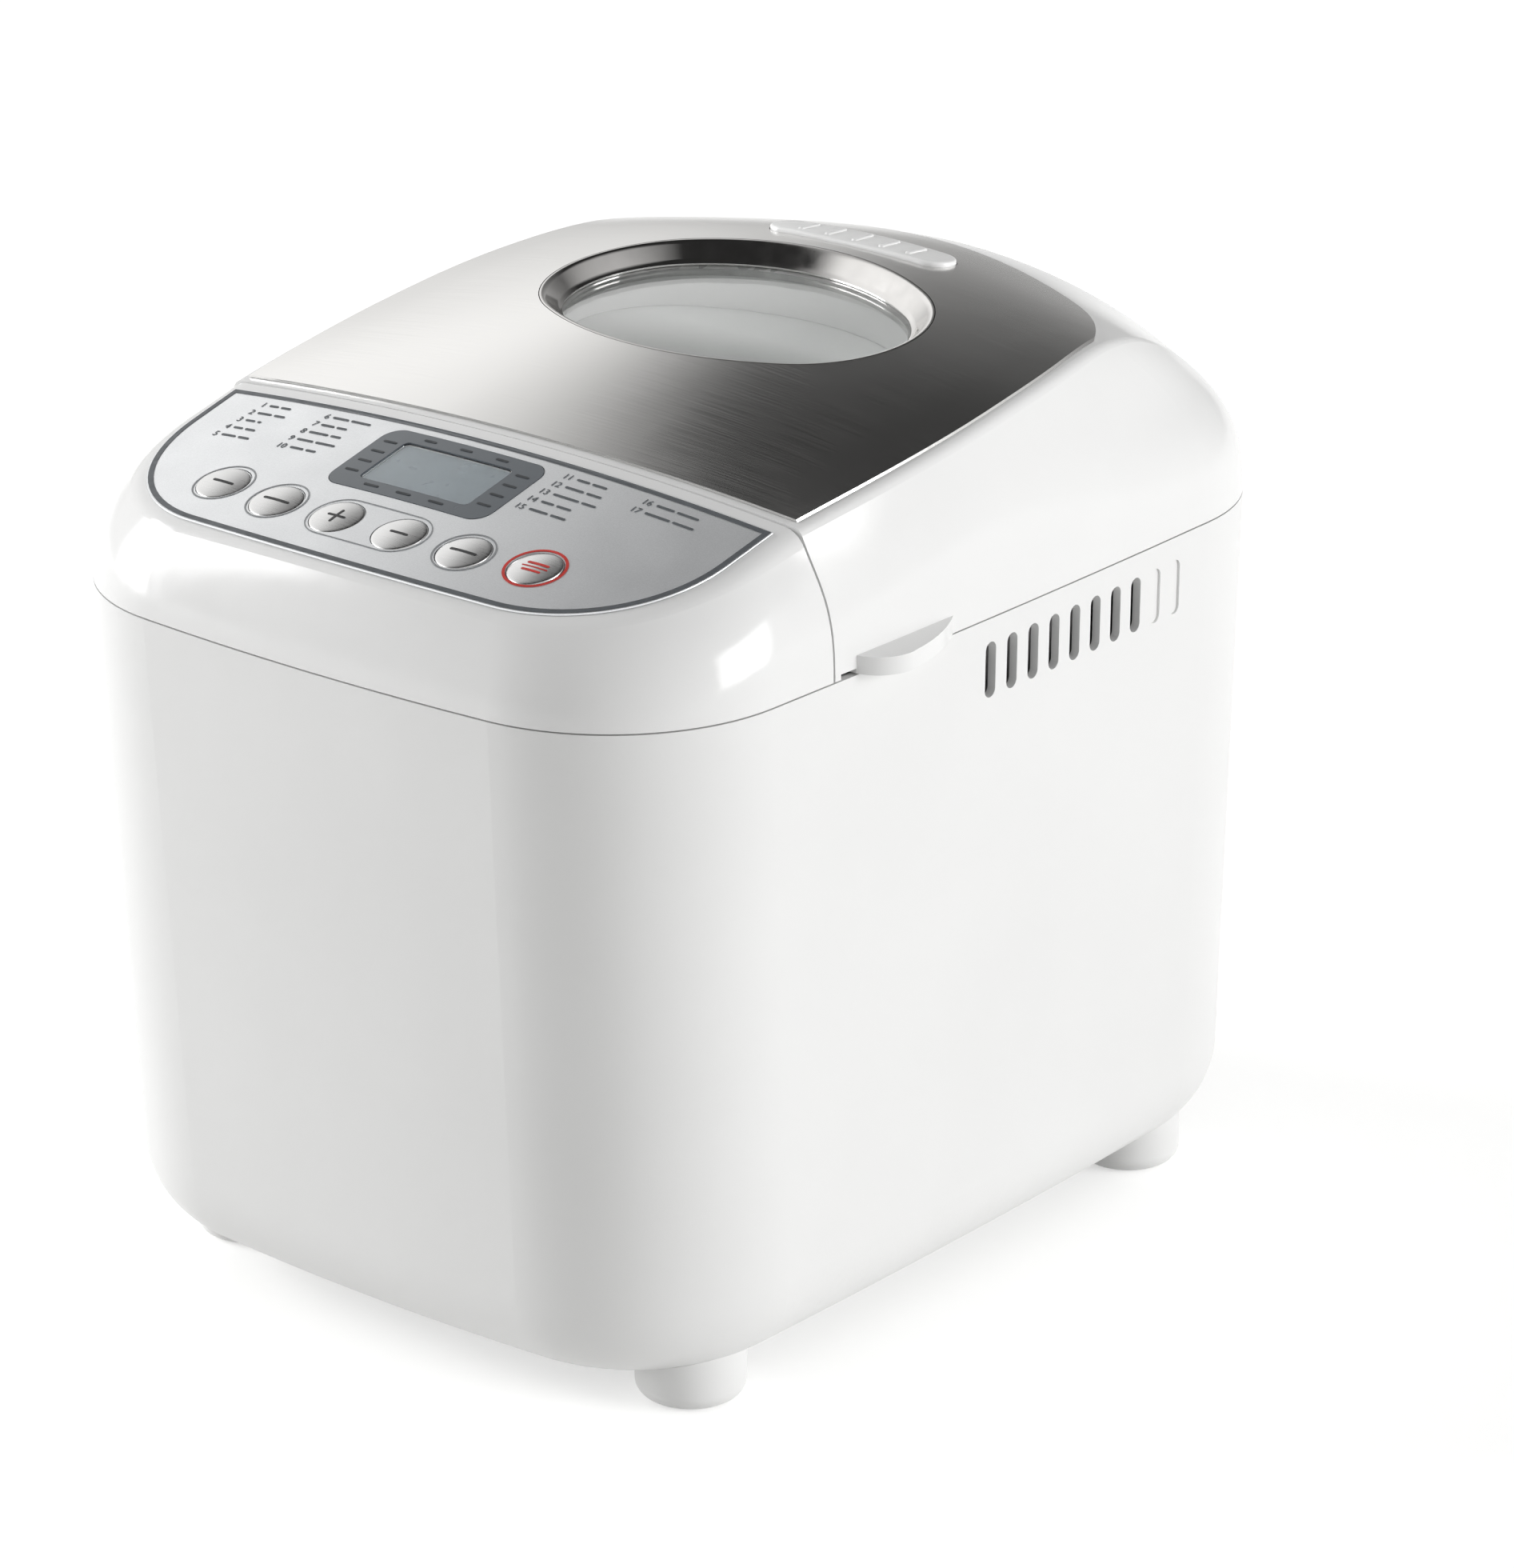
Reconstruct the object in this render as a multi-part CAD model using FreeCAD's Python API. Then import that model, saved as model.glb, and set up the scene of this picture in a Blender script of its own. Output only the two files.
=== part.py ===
"""A bread machine as separate pieces, in millimetres.

The origin is on the floor under the middle of the machine, +Z is up and the control panel faces -Y.
"""
import FreeCAD, Part
import math
import os

Vector = FreeCAD.Vector

# Overall size
BODY_WIDTH = 248.0
BODY_DEPTH = 330.0
OVERALL_DEPTH = 360.0
OVERALL_HEIGHT = 296.0

# Tub
FOOT_HEIGHT = 12.0
PARTING_HEIGHT = 224.0
CORNER_RADIUS = 60.0
FRONT_BOW = 2.4
SIDE_BOW = 1.4
REAR_BOW = 6.0
FRONT_TAPER = 0.058
SIDE_TAPER = 0.012
REAR_TAPER = 0.018
BOTTOM_ROUNDING = 29.0
TUB_WALL = 2.8
PARTING_GAP = 0.5

# Upper shells
COVER_WALL = 2.5
PANEL_DEPTH = 87.8
LID_FRONT_GAP = 0.8
LID_CREST_ROUNDING = 4.0
PANEL_CREST_ROUNDING = 9.0

# Side line of the upper shells: height over the parting line, then how far the middle of the sides,
# the front and the rear have come in, and how far the sides bow out between their corners
SHOULDER = (
    (0.0, 0.0, 0.0, 0.0, 1.4),
    (14.0, 0.5, 3.0, 1.0, 1.8),
    (26.0, 2.2, 9.0, 4.6, 4.2),
    (36.0, 4.8, 17.0, 11.0, 7.4),
    (46.0, 8.6, 26.0, 20.0, 7.5),
    (58.0, 13.0, 40.0, 34.0, 7.0),
    (72.0, 20.0, 60.0, 55.0, 8.0),
)

# Lid crown
CROWN_HEIGHT = 293.4
CROWN_TOP_Y = 55.0
CROWN_RADIUS = 510.0
CROWN_ARCH = 0.0009
CROWN_FRONT_FLATTENING = 0.0005
CROWN_REAR_ARCHING = 0.0012
CROWN_REAR_Y = 64.0
CROWN_REAR_RADIUS = 300.0
STEEL_THICKNESS = 0.7
ADHESIVE = 0.2

# Control panel
PANEL_REAR_HEIGHT = 271.3
PANEL_SLOPE = 0.245
PANEL_ARCH = 0.00045
OVERLAY_HALF_WIDTH = 104.5
OVERLAY_FRONT_MARGIN = 14.0
OVERLAY_REAR_MARGIN = 5.0
OVERLAY_CORNER = 50.0
OVERLAY_THICKNESS = 0.5
BUTTON_DIAMETER = 16.4
BUTTON_PITCH = 24.3
BUTTON_ROW_X = -3.1
BUTTON_ROW_SETBACK = 31.2
BUTTON_ROW_BOW = 3.5
BUTTON_HEIGHT = 0.8
BUTTON_CROWN = 0.8
BUTTON_CLEARANCE = 0.4
BUTTON_FLANGE = 1.8
BUTTON_FLANGE_GAP = 1.1
BUTTON_FLANGE_THICKNESS = 1.6
BUTTON_STEM_DIAMETER = 6.0
BUTTON_STEM_LENGTH = 2.3
SWITCH_SIZE = 6.2
SWITCH_HEIGHT = 4.4
SWITCH_GAP = 1.1
BOARD_THICKNESS = 1.6
BOARD_HALF_WIDTH = 84.0
BOARD_FRONT_MARGIN = 22.0
BOARD_REAR_MARGIN = 8.0
BOARD_SCREW_INSET = 6.0
DISPLAY_X = -4.5
DISPLAY_SETBACK = 62.0
DISPLAY_FRAME_WIDTH = 62.0
DISPLAY_FRAME_DEPTH = 32.0
DISPLAY_FRAME_CORNER = 6.0
DISPLAY_FRAME_RISE = 0.9
LENS_WIDTH = 42.0
LENS_DEPTH = 21.0
LENS_CORNER = 2.0
LENS_THICKNESS = 1.2
LENS_CLEARANCE = 0.2
DISPLAY_MODULE_MARGIN = 4.0

# Window, vent and grips of the lid
WINDOW_Y = 13.0
WINDOW_HALF_LENGTH = 66.0
WINDOW_HALF_WIDTH = 47.0
WINDOW_END_RADIUS = 40.0
BEZEL_WIDTH = 6.5
BEZEL_DEPTH = 6.0
BEZEL_LIP = 1.0
BEZEL_SLOPE_RISE = 1.5
BEZEL_SLOPE_DROP = 12.0
WINDOW_CLEARANCE = 0.3
GLASS_THICKNESS = 3.0
GLASS_MARGIN = 2.0
GLASS_GASKET_WIDTH = 6.0
GLASS_GASKET_THICKNESS = 2.0
VENT_Y = 75.0
VENT_LENGTH = 70.0
VENT_WIDTH = 14.0
VENT_SLOTS = 5
VENT_SLOT_PITCH = 11.0
VENT_SLOT_WIDTH = 1.6
VENT_SLOT_DEPTH = 1.2
VENT_DEPTH = 7.0
VENT_EDGE = 1.2
STEEL_REAR_Y = 104.0
STEEL_CORNER = 59.8
STEEL_CORNER_X = 47.0
STEEL_CORNER_Y = 33.0
STEEL_SIDE_LEAN = 8.0
STEEL_FRONT_MARGIN = 2.4
STEEL_EDGE_MARGIN = 2.8
GRIP_FRONT_SETBACK = 98.0
GRIP_LENGTH = 48.0
GRIP_REACH = 9.5
GRIP_THICKNESS = 5.5
GRIP_CREST = 15.0
GRIP_SLIT_HEIGHT = 1.6

# Lid lining
LINER_WALL = 1.5
LINER_HEIGHT = 42.0
LINER_MARGIN = 5.0
LINER_DRAFT_SIDE = 4.5
LINER_DRAFT_FRONT = 6.0
LINER_FLANGE_GAP = 0.4
SEAL_WIDTH = 5.5
SEAL_GAP = 0.3

# Hinge
HINGE_X = 52.0
HINGE_AXIS_HEIGHT = 222.0
HINGE_RADIUS = 12.0
HINGE_PIN_DIAMETER = 5.0
HINGE_PIN_CLEARANCE = 0.06
HINGE_KNUCKLE_WIDTH = 15.0
HINGE_SIDE_GAP = 0.6
HINGE_LUG_THICKNESS = 5.0
HINGE_PLATE_HEIGHT = 22.0
HINGE_ARM_HEIGHT = 22.0
HINGE_ARM_DROP = 4.0

# Side vents
SLOT_COUNT = 10
SLOT_OPEN_COUNT = 8
SLOT_BLIND_DEPTH = 0.8
SLOT_PITCH = 10.35
SLOT_FIRST_SETBACK = 160.6
SLOT_WIDTH = 5.0
SLOT_HEIGHT = 17.4
SLOT_DROP = 16.0

# Baking chamber, deck and chassis
CHAMBER_SIDE_GAP = 21.0
CHAMBER_FRONT_GAP = 37.0
CHAMBER_REAR_GAP = 43.0
CHAMBER_TOP_DROP = 10.0
CHAMBER_CORNER = 28.0
CHAMBER_WALL = 0.8
CHAMBER_FLANGE = 8.0
DECK_THICKNESS = 3.0
DECK_GAP = 0.3
DECK_LIP = 2.0
CHASSIS_HEIGHT = 62.0
CHASSIS_THICKNESS = 1.2
CHASSIS_HALF_WIDTH = 92.0
CHASSIS_FRONT_SETBACK = 30.0
CHASSIS_REAR_SETBACK = 20.0
CHASSIS_CORNER = 20.0
POST_DIAMETER = 14.0
POST_X = 82.0
POST_FRONT_SETBACK = 26.0
POST_REAR_SETBACK = 12.0

# Heater and sensor
HEATER_DIAMETER = 6.5
HEATER_GAP = 7.5
HEATER_HEIGHT = 28.0
HEATER_CORNER = 22.0
HEATER_TAIL_X = 16.0
HEATER_TAIL_BEND = 9.0
HEATER_TAIL_LENGTH = 18.0
BUSHING_DIAMETER = 12.0
BUSHING_FLANGE = 2.5
BUSHING_LENGTH = 10.0
SENSOR_DIAMETER = 5.0
SENSOR_X = -56.0
SENSOR_HEIGHT = 84.0
SENSOR_REACH = 6.0
SENSOR_LENGTH = 20.0

# Pan and its handle
PAN_GAP_SIDE = 17.0
PAN_GAP_FRONT = 17.0
PAN_DRAFT = 4.0
PAN_FLOOR_HEIGHT = 20.0
PAN_TOP_DROP = 6.0
PAN_CORNER = 22.0
PAN_WALL = 1.4
PAN_BEAD = 1.2
PAN_BEAD_HEIGHT = 2.4
EAR_WIDTH = 18.0
EAR_HEIGHT = 20.0
EAR_THICKNESS = 2.0
HANDLE_RISE = 5.0
HANDLE_REACH = 48.0
HANDLE_WIRE = 5.0
HANDLE_EYE_DIAMETER = 10.0
HANDLE_EYE_WIDTH = 3.6
HANDLE_PIN_DIAMETER = 5.0
HANDLE_PIN_CLEARANCE = 0.05
HANDLE_SIDE_GAP = 0.6

# Pan base and drive
BASE_RING_DIAMETER = 74.0
BASE_RING_BORE = 54.0
BASE_FLANGE_DIAMETER = 90.0
BASE_FLANGE_THICKNESS = 3.0
BASE_TOP_THICKNESS = 4.0
BASE_RING_LIFT = 4.0
SEAT_DIAMETER = 96.0
SEAT_HEIGHT = 10.0
SEAT_CLEARANCE = 0.5
PAN_BOSS_DIAMETER = 16.0
PAN_BOSS_HEIGHT = 4.0
PAN_SHAFT_DIAMETER = 8.0
SHAFT_CLEARANCE = 0.05
PAN_SHAFT_TOP = 23.0
PADDLE_HUB_DIAMETER = 18.0
PADDLE_HUB_HEIGHT = 20.0
PADDLE_REACH = 36.0
PADDLE_BLADE = 5.0
PADDLE_BLADE_HEIGHT = 24.0
PADDLE_LIFT = 0.6
DRIVE_SHAFT_DIAMETER = 10.0
COUPLING_DIAMETER = 34.0
COUPLING_THICKNESS = 4.0
COUPLING_LIFT = 3.0
COUPLING_DOG = 5.0
COUPLING_DOG_HEIGHT = 8.0
COUPLING_DOG_REACH = 13.0
COUPLING_BAR = 20.0
COUPLING_BAR_HEIGHT = 4.0
COUPLING_GAP = 3.5
BEARING_DIAMETER = 22.0
BEARING_FLANGE = 40.0
BEARING_FLANGE_THICKNESS = 3.0
BEARING_LENGTH = 20.0
PULLEY_HEIGHT = 34.0
PULLEY_WIDTH = 10.0
PULLEY_FLANGE = 3.5
PULLEY_FLANGE_THICKNESS = 1.2
PULLEY_WEB = 3.0
PULLEY_RIM = 5.0
PULLEY_HUB_DIAMETER = 20.0
DRIVEN_PULLEY_DIAMETER = 110.0
MOTOR_PULLEY_DIAMETER = 22.0
BELT_THICKNESS = 2.2
BELT_GAP = 0.3
PULLEY_SHAFT_TAIL = 4.0

# Motor and power board
MOTOR_SETBACK = 62.0
MOTOR_DIAMETER = 76.0
MOTOR_HEIGHT = 62.0
MOTOR_SHELL = 13.0
MOTOR_END = 8.0
MOTOR_SHAFT_DIAMETER = 8.0
ROTOR_GAP = 0.6
BRACKET_THICKNESS = 4.0
BRACKET_MARGIN = 5.0
BRACKET_BORE = 30.0
POWER_BOARD_WIDTH = 44.0
POWER_BOARD_DEPTH = 54.0
POWER_BOARD_GAP = 3.0
POWER_BOARD_LIFT = 8.0
STANDOFF_DIAMETER = 6.0
STANDOFF_INSET = 6.0
TRANSFORMER_WIDTH = 30.0
TRANSFORMER_DEPTH = 26.0
TRANSFORMER_HEIGHT = 25.0
RIBBON_WIDTH = 16.0
RIBBON_THICKNESS = 1.2
RIBBON_SETBACK = 64.0

# Feet, base plate, fasteners and cord gland
FOOT_X = 90.0
FOOT_FRONT_SETBACK = 63.0
FOOT_REAR_SETBACK = 49.0
FOOT_DIAMETER = 33.5
FOOT_ROUNDING = 5.0
FOOT_SEAT = 18.0
BASE_OPENING_WIDTH = 116.0
BASE_OPENING_DEPTH = 150.0
BASE_OPENING_CORNER = 12.0
BASE_PLATE_LAP = 13.0
BASE_SCREW_INSET = 25.0
BASE_PLATE_THICKNESS = 2.0
BASE_SLOTS = 7
BASE_SLOT_PITCH = 14.0
BASE_SLOT_LENGTH = 60.0
BASE_SLOT_WIDTH = 4.0
SCREW_DIAMETER = 3.0
SCREW_HEAD_DIAMETER = 5.6
SCREW_HEAD_HEIGHT = 1.8
SCREW_LENGTH = 10.0
SCREW_BOSS_DIAMETER = 9.0
LID_SCREW_END_SETBACK = 32.0
LID_BOSS_HEIGHT = 24.0
GLAND_X = -45.0
GLAND_HEIGHT = 42.0
GLAND_DIAMETER = 16.0
GLAND_FLANGE = 3.0
GLAND_BORE = 8.0
GLAND_LENGTH = 12.0
FIT_GAP = 0.3

# Places worked out from the sizes above
FRONT = -OVERALL_DEPTH / 2
REAR = FRONT + BODY_DEPTH
HALF_WIDTH = BODY_WIDTH / 2
COVER_REAR = FRONT + PANEL_DEPTH
LID_FRONT = COVER_REAR + LID_FRONT_GAP
COVER_BOTTOM = PARTING_HEIGHT + PARTING_GAP
PANEL_ANGLE = math.degrees(math.atan(PANEL_SLOPE))
PANEL_STRETCH = math.sqrt(1 + PANEL_SLOPE ** 2)
PANEL_REAR = COVER_REAR - OVERLAY_REAR_MARGIN
CHAMBER_HALF_X = HALF_WIDTH - CHAMBER_SIDE_GAP
CHAMBER_FRONT = COVER_REAR + CHAMBER_FRONT_GAP
CHAMBER_REAR = REAR - CHAMBER_REAR_GAP
CHAMBER_HALF_Y = (CHAMBER_REAR - CHAMBER_FRONT) / 2
CHAMBER_Y = (CHAMBER_REAR + CHAMBER_FRONT) / 2
CHASSIS_TOP = CHASSIS_HEIGHT + CHASSIS_THICKNESS
CHAMBER_FLOOR = CHASSIS_TOP + CHAMBER_WALL
CHAMBER_TOP = PARTING_HEIGHT - CHAMBER_TOP_DROP
DECK_TOP = CHAMBER_TOP + DECK_THICKNESS
PAN_BOTTOM = CHAMBER_FLOOR + PAN_FLOOR_HEIGHT
PAN_TOP = CHAMBER_TOP - PAN_TOP_DROP
PAN_TOP_HALF_X = CHAMBER_HALF_X - PAN_GAP_SIDE + PAN_DRAFT
PAN_TOP_HALF_Y = CHAMBER_HALF_Y - PAN_GAP_FRONT + PAN_DRAFT
PAN_FLOOR = PAN_BOTTOM + PAN_WALL
PAN_BASE_BOTTOM = CHAMBER_FLOOR + BASE_RING_LIFT
HANDLE_HEIGHT = PAN_TOP + HANDLE_RISE
HANDLE_INNER_X = PAN_TOP_HALF_X + PAN_BEAD + EAR_THICKNESS
LINER_BOTTOM = COVER_BOTTOM + FIT_GAP
LINER_HALF_X = CHAMBER_HALF_X + LINER_MARGIN
LINER_HALF_Y = CHAMBER_HALF_Y + LINER_MARGIN
LINER_TOP = LINER_BOTTOM + LINER_HEIGHT + LINER_WALL
HINGE_Y = OVERALL_DEPTH / 2 - HINGE_RADIUS
MOTOR_Y = FRONT + MOTOR_SETBACK
TUB_FLOOR = FOOT_HEIGHT + TUB_WALL
BASE_Y = (FRONT + REAR) / 2
BUTTON_NAMES = ("menu", "weight", "plus", "minus", "colour", "start")
BOARD_TOP = -(COVER_WALL + BUTTON_FLANGE_GAP + BUTTON_FLANGE_THICKNESS + BUTTON_STEM_LENGTH
              + SWITCH_GAP + SWITCH_HEIGHT)
FAR = OVERALL_DEPTH + BODY_WIDTH
UP = Vector(0, 0, 1)


def box(x0, x1, y0, y1, z0, z1):
    """A block between two corners."""
    return Part.makeBox(x1 - x0, y1 - y0, z1 - z0, Vector(x0, y0, z0))


def disc(diameter, height, base, axis=UP):
    """A cylinder that starts at base and runs along axis."""
    return Part.makeCylinder(diameter / 2, height, base, axis)


def ring(outer, bore, height, base, axis=UP):
    """A plain ring."""
    return disc(outer, height, base, axis).cut(disc(bore, height, base, axis))


def join(shapes):
    """Shapes that touch, as one solid."""
    first = shapes[0]
    return first.fuse(shapes[1:]).removeSplitter()


def plate(wire, height):
    """The area inside a flat wire, raised by height."""
    return Part.Face(wire).extrude(Vector(0, 0, height))


def turned(vector, angle):
    """A flat direction, turned about Z."""
    return FreeCAD.Rotation(UP, math.degrees(angle)).multVec(vector)


def bowed_outline(half_width, front, rear, radius, bows, z, inset=0.0):
    """A rectangle with round corners whose four sides bow outwards, drawn in by inset."""
    x = half_width - radius
    low = front + radius
    high = rear - radius
    corners = [Vector(-x, low, z), Vector(x, low, z), Vector(x, high, z), Vector(-x, high, z)]
    reach = radius - inset
    sides = []
    for index, bow in enumerate(bows):
        start = corners[index]
        end = corners[(index + 1) % 4]
        chord = end - start
        normal = Vector(chord.y, -chord.x, 0).normalize()
        lean = 2 * math.atan(2 * bow / chord.Length)
        sides.append((start, end, normal, turned(normal, -lean), turned(normal, lean), bow))
    edges = []
    for index, (start, end, normal, first, last, bow) in enumerate(sides):
        begin = start + first * reach
        finish = end + last * reach
        if bow > 0:
            middle = (start + end) * 0.5 + normal * (bow + reach)
            edges.append(Part.Arc(begin, middle, finish).toShape())
        else:
            edges.append(Part.LineSegment(begin, finish).toShape())
        following = sides[(index + 1) % 4][3]
        between = (last + following).normalize()
        edges.append(Part.Arc(finish, end + between * reach, end + following * reach).toShape())
    return Part.Wire(edges)


def rounded_rectangle(half_x, half_y, radius, y, z, x=0.0):
    """A flat rectangle with round corners about (x, y)."""
    wire = bowed_outline(half_x, y - half_y, y + half_y, radius, (0, 0, 0, 0), z)
    return wire.translate(Vector(x, 0, 0))


def oval(half_length, half_width, end_radius, y, z):
    """A four-arc oval, long along X."""
    end_x = half_length - end_radius
    step = half_width - end_radius
    drop = (end_x ** 2 - step ** 2) / (2 * step)
    side_radius = half_width + drop
    lean = math.atan2(end_x, drop)
    tip = Vector(math.sin(lean), math.cos(lean), 0)
    joint = Vector(end_x, 0, 0) + tip * end_radius
    corners = [Vector(-joint.x, joint.y), joint, Vector(joint.x, -joint.y), Vector(-joint.x, -joint.y)]
    middles = [Vector(0, side_radius - drop), Vector(half_length, 0),
               Vector(0, drop - side_radius), Vector(-half_length, 0)]
    place = Vector(0, y, z)
    edges = []
    for index, middle in enumerate(middles):
        start = corners[index] + place
        end = corners[(index + 1) % 4] + place
        edges.append(Part.Arc(start, middle + place, end).toShape())
    return Part.Wire(edges)


def stadium(length, width, x, y, z):
    """A slot outline with half-round ends, long along X."""
    straight = (length - width) / 2
    radius = width / 2
    right = x + straight
    left = x - straight
    edges = [
        Part.makeLine(Vector(left, y - radius, z), Vector(right, y - radius, z)),
        Part.Arc(Vector(right, y - radius, z), Vector(right + radius, y, z),
                 Vector(right, y + radius, z)).toShape(),
        Part.makeLine(Vector(right, y + radius, z), Vector(left, y + radius, z)),
        Part.Arc(Vector(left, y + radius, z), Vector(left - radius, y, z),
                 Vector(left, y - radius, z)).toShape(),
    ]
    return Part.Wire(edges)


def tub_outline(z, inset=0.0):
    """The tub's outline at a height, drawn in by inset."""
    drop = PARTING_HEIGHT - z
    bows = (FRONT_BOW, SIDE_BOW, REAR_BOW, SIDE_BOW)
    return bowed_outline(HALF_WIDTH - SIDE_BOW - SIDE_TAPER * drop, FRONT + FRONT_BOW + FRONT_TAPER * drop,
                         REAR - REAR_TAPER * drop, CORNER_RADIUS, bows, z, inset)


def tub_block(inset, top):
    """The tub filled solid, drawn in all round by inset."""
    bottom = FOOT_HEIGHT + inset
    block = Part.makeLoft([tub_outline(bottom, inset), tub_outline(top, inset)], True, True)
    rim = [edge for edge in block.Edges if edge.BoundBox.ZMax < bottom + FIT_GAP]
    return block.makeFillet(BOTTOM_ROUNDING - inset, rim)


def shoulder_block(inset=0.0):
    """Everything inside the side line of the upper shells."""
    outlines = []
    for height, side, front, rear, bow in SHOULDER:
        bows = (FRONT_BOW, bow, REAR_BOW, bow)
        outlines.append(bowed_outline(HALF_WIDTH - side - bow, FRONT + FRONT_BOW + front, REAR - rear,
                                      CORNER_RADIUS, bows, PARTING_HEIGHT + height, inset))
    return Part.makeLoft(outlines, True, False)


def crown_height(x, y):
    """Height of the lid's plastic crown at a place."""
    arch = CROWN_ARCH
    if y < 0:
        arch -= CROWN_FRONT_FLATTENING * (y / LID_FRONT) ** 2
    if y > CROWN_TOP_Y:
        arch += CROWN_REAR_ARCHING * ((y - CROWN_TOP_Y) / CROWN_TOP_Y) ** 2
    height = CROWN_HEIGHT - (y - CROWN_TOP_Y) ** 2 / (2 * CROWN_RADIUS) - arch * x ** 2
    if y > CROWN_REAR_Y:
        height -= (y - CROWN_REAR_Y) ** 2 / (2 * CROWN_REAR_RADIUS)
    return height


def crown_block(offset=0.0):
    """Everything under the lid's crown, moved up by offset."""
    columns = 9
    rows = 15
    reach = HALF_WIDTH + CORNER_RADIUS / 2
    start = LID_FRONT - CORNER_RADIUS / 2
    length = REAR + REAR_BOW + CORNER_RADIUS / 2 - start
    grid = []
    for column in range(columns):
        x = reach * (2 * column / (columns - 1) - 1)
        places = [start + length * row / (rows - 1) for row in range(rows)]
        grid.append([Vector(x, y, crown_height(x, y) + offset) for y in places])
    surface = Part.BSplineSurface()
    surface.interpolate(grid)
    return surface.toShape().extrude(Vector(0, 0, -PARTING_HEIGHT))


def panel_height(x, y):
    """Height of the control panel's surface at a place."""
    return PANEL_REAR_HEIGHT + PANEL_SLOPE * (y - PANEL_REAR) - PANEL_ARCH * x ** 2


def panel_block(offset=0.0):
    """Everything under the control panel, moved square to it by offset."""
    rise = offset * PANEL_STRETCH
    y = FRONT - CORNER_RADIUS
    left = Vector(-HALF_WIDTH, y, panel_height(HALF_WIDTH, y) + rise)
    right = Vector(HALF_WIDTH, y, left.z)
    floor = PARTING_HEIGHT - OVERALL_HEIGHT
    edges = [
        Part.Arc(left, Vector(0, y, panel_height(0, y) + rise), right).toShape(),
        Part.makeLine(right, Vector(HALF_WIDTH, y, floor)),
        Part.makeLine(Vector(HALF_WIDTH, y, floor), Vector(-HALF_WIDTH, y, floor)),
        Part.makeLine(Vector(-HALF_WIDTH, y, floor), left),
    ]
    return Part.Face(Part.Wire(edges)).extrude(Vector(0, BODY_DEPTH, BODY_DEPTH * PANEL_SLOPE))


def on_panel(shape, x, y):
    """A shape drawn flat about the origin, set on the control panel at a place."""
    turn = FreeCAD.Rotation(Vector(1, 0, 0), PANEL_ANGLE)
    placed = shape.copy()
    place = FreeCAD.Placement(Vector(x, y, panel_height(x, y)), turn)
    placed.Placement = place.multiply(shape.Placement)
    return placed


def crest_edges(solid, flat_y):
    """The edges along the top of a shell, apart from those on its flat end."""
    edges = []
    for edge in solid.Edges:
        bounds = edge.BoundBox
        on_flat_end = bounds.YLength < FIT_GAP and abs(bounds.YMin - flat_y) < FIT_GAP
        if bounds.ZMin > PARTING_HEIGHT + CORNER_RADIUS / 4 and not on_flat_end:
            edges.append(edge)
    return edges


def screw(place, axis):
    """A pan-head screw: place is under the head, the shank runs along axis."""
    head = disc(SCREW_HEAD_DIAMETER, SCREW_HEAD_HEIGHT, place, axis * -1)
    return join([head, disc(SCREW_DIAMETER, SCREW_LENGTH, place, axis)])


def pilot(place, axis):
    """The hole that a screw's shank goes into."""
    return disc(SCREW_DIAMETER, SCREW_LENGTH + FIT_GAP, place, axis)


def mirrored_places(x, first_y, second_y):
    """Four places at plus and minus x."""
    return [(side * x, y) for y in (first_y, second_y) for side in (-1, 1)]


TUB_SOLID = tub_block(0.0, PARTING_HEIGHT)
POST_PLACES = mirrored_places(POST_X, FRONT + CHASSIS_FRONT_SETBACK + POST_FRONT_SETBACK,
                              REAR - CHASSIS_REAR_SETBACK - POST_REAR_SETBACK)
BASE_SCREW_PLACES = mirrored_places(BASE_OPENING_WIDTH / 2 + BASE_PLATE_LAP / 2,
                                    BASE_Y - BASE_OPENING_DEPTH / 2 + BASE_SCREW_INSET,
                                    BASE_Y + BASE_OPENING_DEPTH / 2 - BASE_SCREW_INSET)
LID_SCREW_X = HALF_WIDTH - COVER_WALL - SCREW_HEAD_DIAMETER / 2 - FIT_GAP - TUB_WALL
LID_SCREW_PLACES = mirrored_places(LID_SCREW_X, LID_FRONT + LID_SCREW_END_SETBACK,
                                   CHAMBER_REAR - LID_SCREW_END_SETBACK)


def lid_solid():
    """The lid's outer form, filled."""
    room = box(-FAR, FAR, LID_FRONT, FAR, COVER_BOTTOM, FAR)
    solid = shoulder_block().common(crown_block()).common(room)
    return solid.makeFillet(LID_CREST_ROUNDING, crest_edges(solid, LID_FRONT))


def cover_solid():
    """The control housing's outer form, filled."""
    room = box(-FAR, FAR, -FAR, COVER_REAR, COVER_BOTTOM, FAR)
    solid = shoulder_block().common(panel_block()).common(room)
    return solid.makeFillet(PANEL_CREST_ROUNDING, crest_edges(solid, COVER_REAR))


LID_SOLID = lid_solid()


def side_slots():
    """Cutters for the upright air slots in both sides of the tub: the rear ones are only pressed in."""
    middle = PARTING_HEIGHT - SLOT_DROP
    blind = tub_block(SLOT_BLIND_DEPTH, PARTING_HEIGHT + PARTING_GAP)
    cutters = []
    for index in range(SLOT_COUNT):
        y = FRONT + SLOT_FIRST_SETBACK + SLOT_PITCH * index
        outline = stadium(SLOT_HEIGHT, SLOT_WIDTH, 0, 0, 0)
        cutter = Part.Face(outline).extrude(Vector(0, 0, 2 * HALF_WIDTH))
        turn = FreeCAD.Rotation(Vector(0, 1, 0), 90)
        cutter.Placement = FreeCAD.Placement(Vector(-HALF_WIDTH, y, middle), turn)
        cutters.append(cutter if index < SLOT_OPEN_COUNT else cutter.cut(blind))
    return cutters


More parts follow.
